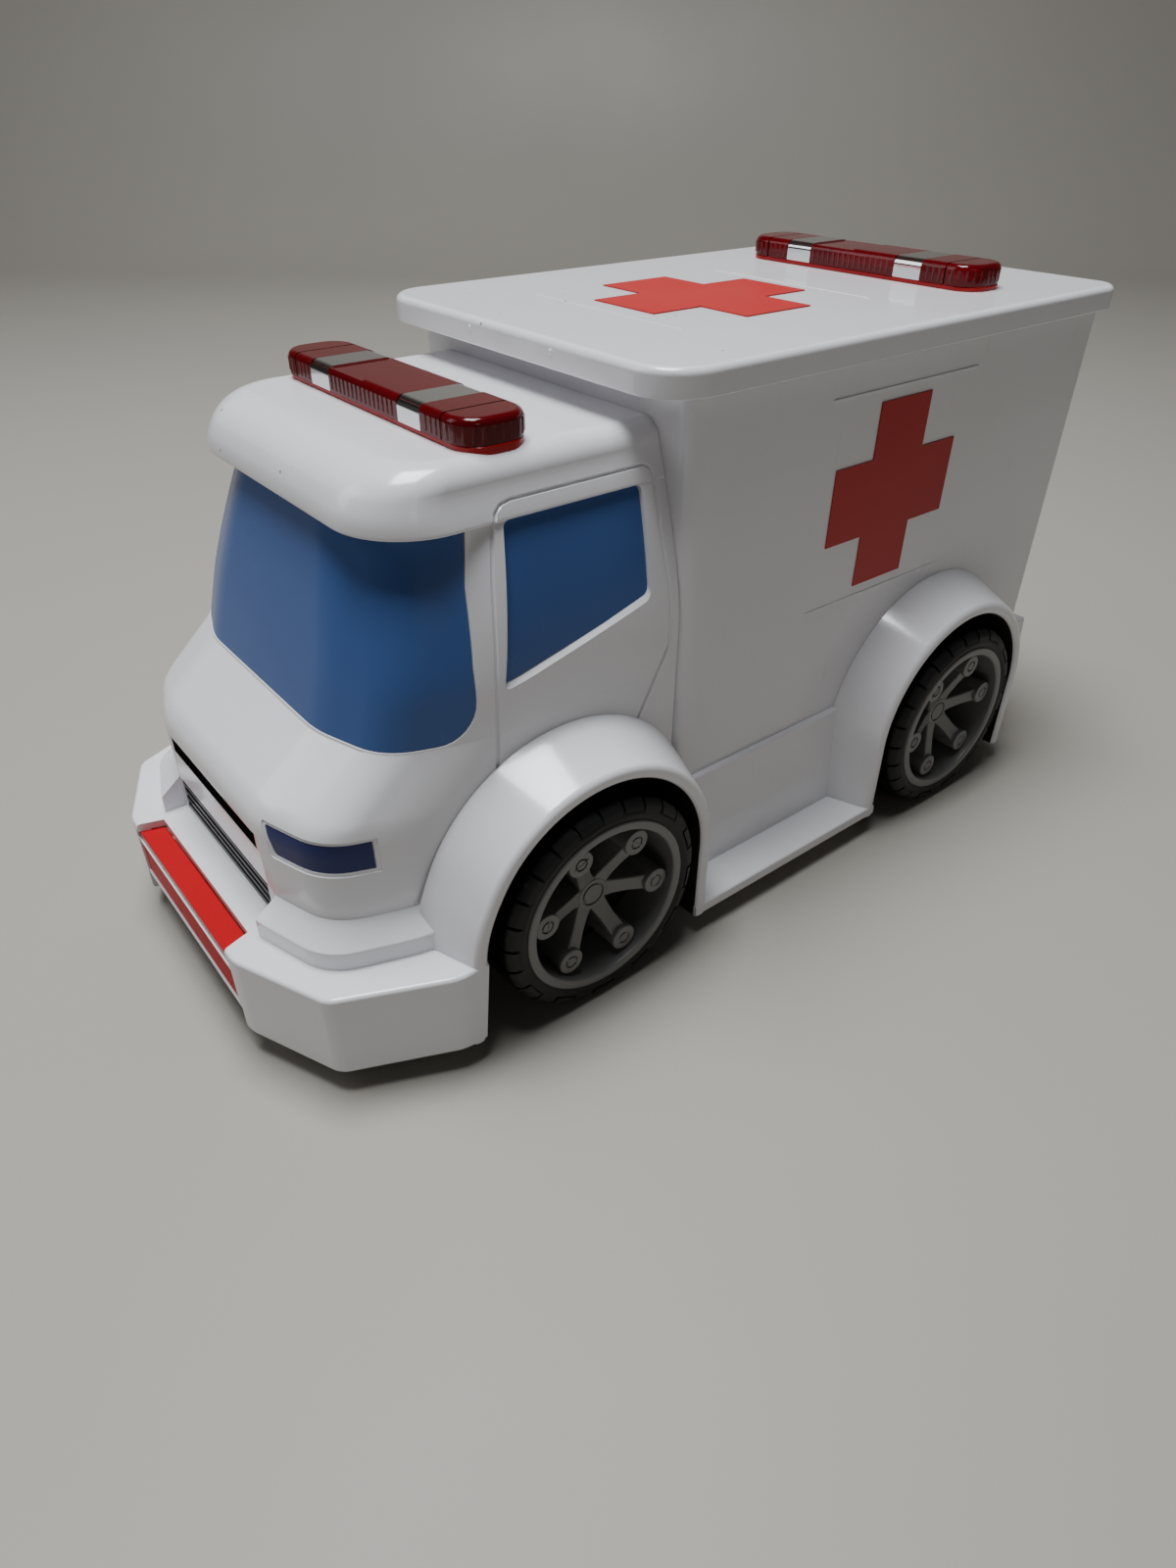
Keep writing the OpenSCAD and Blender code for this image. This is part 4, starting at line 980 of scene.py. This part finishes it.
def makeLid():
    s = lid
    body, top = lidBlank(0.0, s["low"], s["top"])
    rims = [e for f in body.faces if atHeight(f, s["low"]) for e in f.edges]
    roundEdges(body, list(top.edges), s["edge"], 5)
    roundEdges(body, [e for e in rims if e.is_valid], s["rim"], 3)
    pocket, _ = lidBlank(s["wall"], s["low"] - past, s["under"])
    body = cut(outward(body), outward(pocket))
    lip = uprightBox(s["lipHalf"], s["lipFront"], s["lipRear"], s["lipLow"], s["lipTop"], s["lipCorner"])
    lip = cut(lip, uprightBox(s["lipHalf"] - s["lip"], s["lipFront"] + s["lip"], s["lipRear"] - s["lip"],
                              s["lipLow"] - past, s["under"] + past, s["lipCorner"]))
    body = fuse(body, lip)
    half, wide = s["lineHalf"], s["lineWide"]
    for y in s["lines"]:
        body = fuse(body, softBlock((-half, y - wide, s["top"] - s["lineRoot"]),
                                    (half, y + wide, s["top"] + s["lineProud"]), s["lineRound"]))
    for x in s["nubs"]:
        nub = bmesh.new()
        spot = Matrix.Translation((x, s["front"] + s["nubIn"], s["nubHeight"]))
        bmesh.ops.create_uvsphere(nub, u_segments=14, v_segments=8, radius=s["nubRadius"], matrix=spot)
        body = fuse(body, nub)
    placePiece("lidShell", body, "lid", ["whitePlastic"], ["lid"])
    print("tub and lid formed")


makeTub()
makeLid()

# light bars: a ribbed clear lens on a red foot, with two foil bands
bar = dict(half=44.5, deep=9.25, height=7.0, corner=7.0, foot=1.2, footGap=0.1, footEdge=0.3, lip=0.4,
           bands=(-21.5, 21.5), bandHalf=4.85, bandEdge=2.3, foil=0.6, gap=0.05, seams=(-35.0, 35.0),
           seam=0.3, seamDepth=0.55, step=0.35, edge=1.7, ribLow=2.0, ribTop=5.4, ribRadius=0.75,
           ribPitch=2.1, ribProud=0.22, ribClear=0.9, reach=20.0)
barPlaces = {"cabBar": dict(node="front", y=-4.8, z=cab["roof"], body="body", low=-3.0),
             "lidBar": dict(node="rear", y=169.0, z=lid["top"], body="lid", low=0.05)}


def barOutline(half, deep, radius):
    points = []
    for start, x, y in ((-90, 1, -1), (0, 1, 1), (90, -1, 1), (180, -1, -1)):
        middle = Vector((x * (half - radius), y * (deep - radius)))
        for i in range(13):
            a = math.radians(start + 90 * i / 12)
            points.append(middle + Vector((math.cos(a), math.sin(a))) * radius)
    return points


def barRibs():
    s = bar
    inset = s["ribRadius"] - s["ribProud"]
    path = barOutline(s["half"] - inset, s["deep"] - inset, s["corner"] - inset)
    path.append(path[0])
    parts, run = [], 0.0
    for p, q in zip(path, path[1:]):
        length = (q - p).length
        while run < length:
            spot = p.lerp(q, run / length)
            if all(abs(spot.x - x) > s["bandHalf"] + s["ribClear"] for x in s["bands"]):
                middle = Matrix.Translation((spot.x, spot.y, (s["ribTop"] + s["ribLow"]) / 2))
                parts.append(rod(s["ribRadius"], s["ribTop"] - s["ribLow"], 8, middle))
            run += s["ribPitch"]
        run -= length
    return joined(*parts)


def barBlock(half, deep, low, top, edge, segments):
    bm = bmesh.new()
    face = roundedFace(bm, rectangle(half, -deep, deep, low), range(4), bar["corner"], 10)
    upper = pull(bm, face, (0, 0, top - low))
    roundEdges(bm, list(upper.edges), edge, segments)
    return outward(bm)


# what lies deeper than a given depth in a bar
def barInside(x, depth):
    s = bar
    return block((x - s["reach"], -s["deep"] + depth, -2 * s["reach"]),
                 (x + s["reach"], s["deep"] - depth, s["height"] - depth))


def barLens():
    s = bar
    reach = s["reach"]
    lens = barBlock(s["half"], s["deep"], s["foot"] + s["footGap"], s["height"], s["edge"], 4)
    lens = fuse(lens, barRibs())
    bandHalf = s["bandHalf"] + s["gap"]
    slits = [(x, bandHalf, s["foil"] + s["gap"]) for x in s["bands"]]
    slits += [(x, s["seam"], s["seamDepth"]) for x in s["seams"]]
    for x, half, depth in slits:
        around = block((x - half, -reach, -reach), (x + half, reach, reach))
        lens = cut(lens, cut(around, barInside(x, depth)))
    return cut(lens, block((s["bands"][0] + bandHalf, -reach, s["height"] - s["step"]), (0, reach, reach)))


def barBand(x):
    s = bar
    band = block((x - s["bandHalf"], -s["deep"], s["foot"] + s["footGap"]),
                 (x + s["bandHalf"], s["deep"], s["height"]))
    roundEdges(band, [e for e in band.edges if atHeight(e, s["height"]) and span(e, 0) > 1], s["bandEdge"], 6)
    return cut(outward(band), barInside(x, s["foil"]))


def makeBar(name, place):
    s = bar
    shift = Matrix.Translation((0, place["y"], place["z"]))
    body, node = place["body"], place["node"] + "_bar_"
    placePiece(name + "Lens", copyOf(barLens(), shift), body, ["redLens"], [node + "lens"])
    for side, x in (("left", s["bands"][1]), ("right", s["bands"][0])):
        placePiece(name + side.title() + "Band", copyOf(barBand(x), shift), body,
                   ["mirrorFoil"], [node + side + "_band"])
    foot = barBlock(s["half"] + s["lip"], s["deep"] - s["lip"], place["low"], s["foot"], s["footEdge"], 3)
    foot = copyOf(foot, shift)
    if body == "body":
        foot = cut(foot, roofForm())
    placePiece(name + "Foot", foot, body, ["redBase"], [node + "base"])


for name, place in barPlaces.items():
    makeBar(name, place)
print("light bars formed")

# wheels, drawn on the left side with the wheel face at x = 0
hub = dict(face=77.45, rim=25.55, barrel=22.8, deep=23.0, draft=0.8, lipRound=0.8, disc=13.6, backRadius=22.6,
           backThick=2.4, spokes=6, spokeHalf=2.6, spokeNarrow=2.2, spokeFlare=0.28, spokeLow=2.8,
           spokeTop=18.2, spokeBack=-13.2, spokeFront=-7.2, spokeRise=5.2, spokeCurve=1.25, spokeRound=0.55,
           centre=4.8, centreRoot=-22.0, centreAt=-6.6, centreRing=(3.6, 2.9),
           boss=3.8, bossAt=-2.1, bossCircle=18.2, bossRing=(1.95, 1.35),
           groove=0.5, grooveLean=0.15, postRound=0.45, turns={"front": -36.0, "rear": -20.0})


def spun(section, rounds, width):
    bm = bmesh.new()
    face = roundedFace(bm, [(x, 0, r) for x, r in section], rounds, width, 4)
    spinFace(bm, face, math.tau, 96, use_merge=True)
    return outward(dropInner(bm))


# a round post with a ring groove in its end
def post(radius, start, end, z, ring, dot):
    s = hub
    floor = end - s["groove"]
    section = [(start, 0.0), (start, radius), (end, radius), (end, ring), (floor, ring - s["grooveLean"]),
               (floor, dot + s["grooveLean"]), (end, dot), (end, 0.0)]
    bm = bmesh.new()
    points = [bm.verts.new((x, 0, r)) for x, r in section]
    for pair in zip(points, points[1:]):
        bm.edges.new(pair)
    roundCorners(bm, [points[2]], s["postRound"], 3)
    spin(bm, [*bm.edges, *bm.verts], math.tau, 32, use_merge=True)
    bmesh.ops.translate(bm, verts=bm.verts, vec=(0, 0, z))
    return outward(bm)


def spokeForm():
    s = hub
    low, top = s["spokeLow"], s["spokeTop"]
    middle = (s["spokeBack"] + s["spokeFront"]) / 2
    arm = block((s["spokeBack"], -s["spokeHalf"], low), (s["spokeFront"], s["spokeHalf"], top))
    bmesh.ops.subdivide_edges(arm, edges=[e for e in arm.edges if span(e, 2) > 5], cuts=3, use_grid_fill=True)
    for v in arm.verts:
        reach = max(0.0, (v.co.z - low) / (top - low))
        v.co.y *= s["spokeFlare"] * (2 * reach - 1) ** 2 + s["spokeNarrow"] / s["spokeHalf"]
        if v.co.x > middle:
            v.co.x += s["spokeRise"] * reach ** s["spokeCurve"]
    long = [e for e in arm.edges if all(v.co.x > middle for v in e.verts) and span(e, 1) < 1 < span(e, 2)]
    roundEdges(arm, long, s["spokeRound"], 3)
    return joined(outward(arm), post(s["boss"], -s["disc"], s["bossAt"], s["bossCircle"], *s["bossRing"]))


def hubForm():
    s = hub
    ring = [(-s["deep"], s["rim"]), (0, s["rim"]), (0, s["barrel"]), (-s["deep"], s["barrel"] - s["draft"])]
    parts = [spun(ring, (1, 2), s["lipRound"]),
             post(s["centre"], s["centreRoot"], s["centreAt"], 0, *s["centreRing"])]
    spoke = spokeForm()
    for i in range(s["spokes"]):
        parts.append(copyOf(spoke, Matrix.Rotation(math.tau * i / s["spokes"], 4, "X")))
    spoke.free()
    return joined(*parts)


# sections as (distance in from the face, radius)
tyre = dict(wide=24.0, side=[(0.5, 25.58), (0.0, 27.4), (0.9, 28.9), (2.6, 29.9)], blocks=13, share=0.88,
            lugFoot=0.12, lugReach=(27.3, 28.2), edge=0.7,
            lug=[(0.5, 29.6), (2.4, 31.25), (11.2, 31.5), (11.2, 29.4), (2.6, 28.6)])


def lugForm(reach, offset):
    s = tyre
    pitch = math.tau / (2 * s["blocks"])
    bm = bmesh.new()
    section = [(s["lugFoot"], reach), *s["lug"]]
    face = roundedFace(bm, [(-x, 0, r) for x, r in section], (1, 2), s["edge"], 2)
    spinFace(bm, face, pitch * s["share"], 3)
    outward(bm)
    bmesh.ops.rotate(bm, verts=bm.verts, cent=(0, 0, 0), matrix=Matrix.Rotation(offset * pitch, 3, "X"))
    more = s["blocks"] - 1
    spin(bm, [*bm.verts, *bm.edges, *bm.faces], math.tau * more / s["blocks"], more, use_duplicate=True)
    return bm


def tyreForm():
    s = tyre
    section = [(-x, r) for x, r in s["side"]] + [(x - s["wide"], r) for x, r in reversed(s["side"])]
    carcass = spun(section, range(1, 7), s["edge"])
    outer = joined(*[lugForm(reach, offset) for offset, reach in enumerate(s["lugReach"])])
    across = Matrix.Translation((-s["wide"], 0, 0)) @ acrossCar
    inner = copyOf(outer, Matrix.Rotation(math.pi / (2 * s["blocks"]), 4, "X") @ across)
    return joined(carcass, outer, inner)


def makeWheels():
    s = hub
    hubMesh, tyreMesh = hubForm(), tyreForm()
    # the disc behind the spokes is a near-black sheet of painted shade in the wheel's hollow
    behind = Matrix.Translation((-s["disc"] - s["backThick"] / 2, 0, 0))
    back = rod(s["backRadius"], s["backThick"], 64, behind @ Matrix.Rotation(math.pi / 2, 4, "Y"))
    for axle, y in (("front", 0.0), ("rear", wheelbase)):
        turnBy = Matrix.Rotation(math.radians(s["turns"][axle]), 4, "X")
        for side in ("left", "right"):
            place = Matrix.Translation((s["face"], y, axleHeight)) @ turnBy
            if side == "right":
                place = acrossCar @ place
            node = axle + "_" + side
            body = axle + "_axle_set"
            placePiece(node + "Hub", copyOf(hubMesh, place), body, ["hubGrey"],
                       [node + "_hub"])
            placePiece(node + "Back", copyOf(back, place), body, ["paintedHubShade"])
            placePiece(node + "Tyre", copyOf(tyreMesh, place), body, ["tyreRubber"],
                       [node + "_tyre"])
    for bm in (hubMesh, tyreMesh, back):
        bm.free()
    print("wheels formed")


makeWheels()

# nodes that stay as the CAD drew them, with their finish
nodeFinish = {
    "base_plate": "whitePlastic", "base_screws": "plainSteel", "left_cross": "redSticker",
    "right_cross": "redSticker", "lid_cross": "redSticker", "front_axle": "plainSteel",
    "rear_axle": "plainSteel",
}
for node, look in nodeFinish.items():
    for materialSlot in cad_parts[node].material_slots:
        materialSlot.material = finish[look]
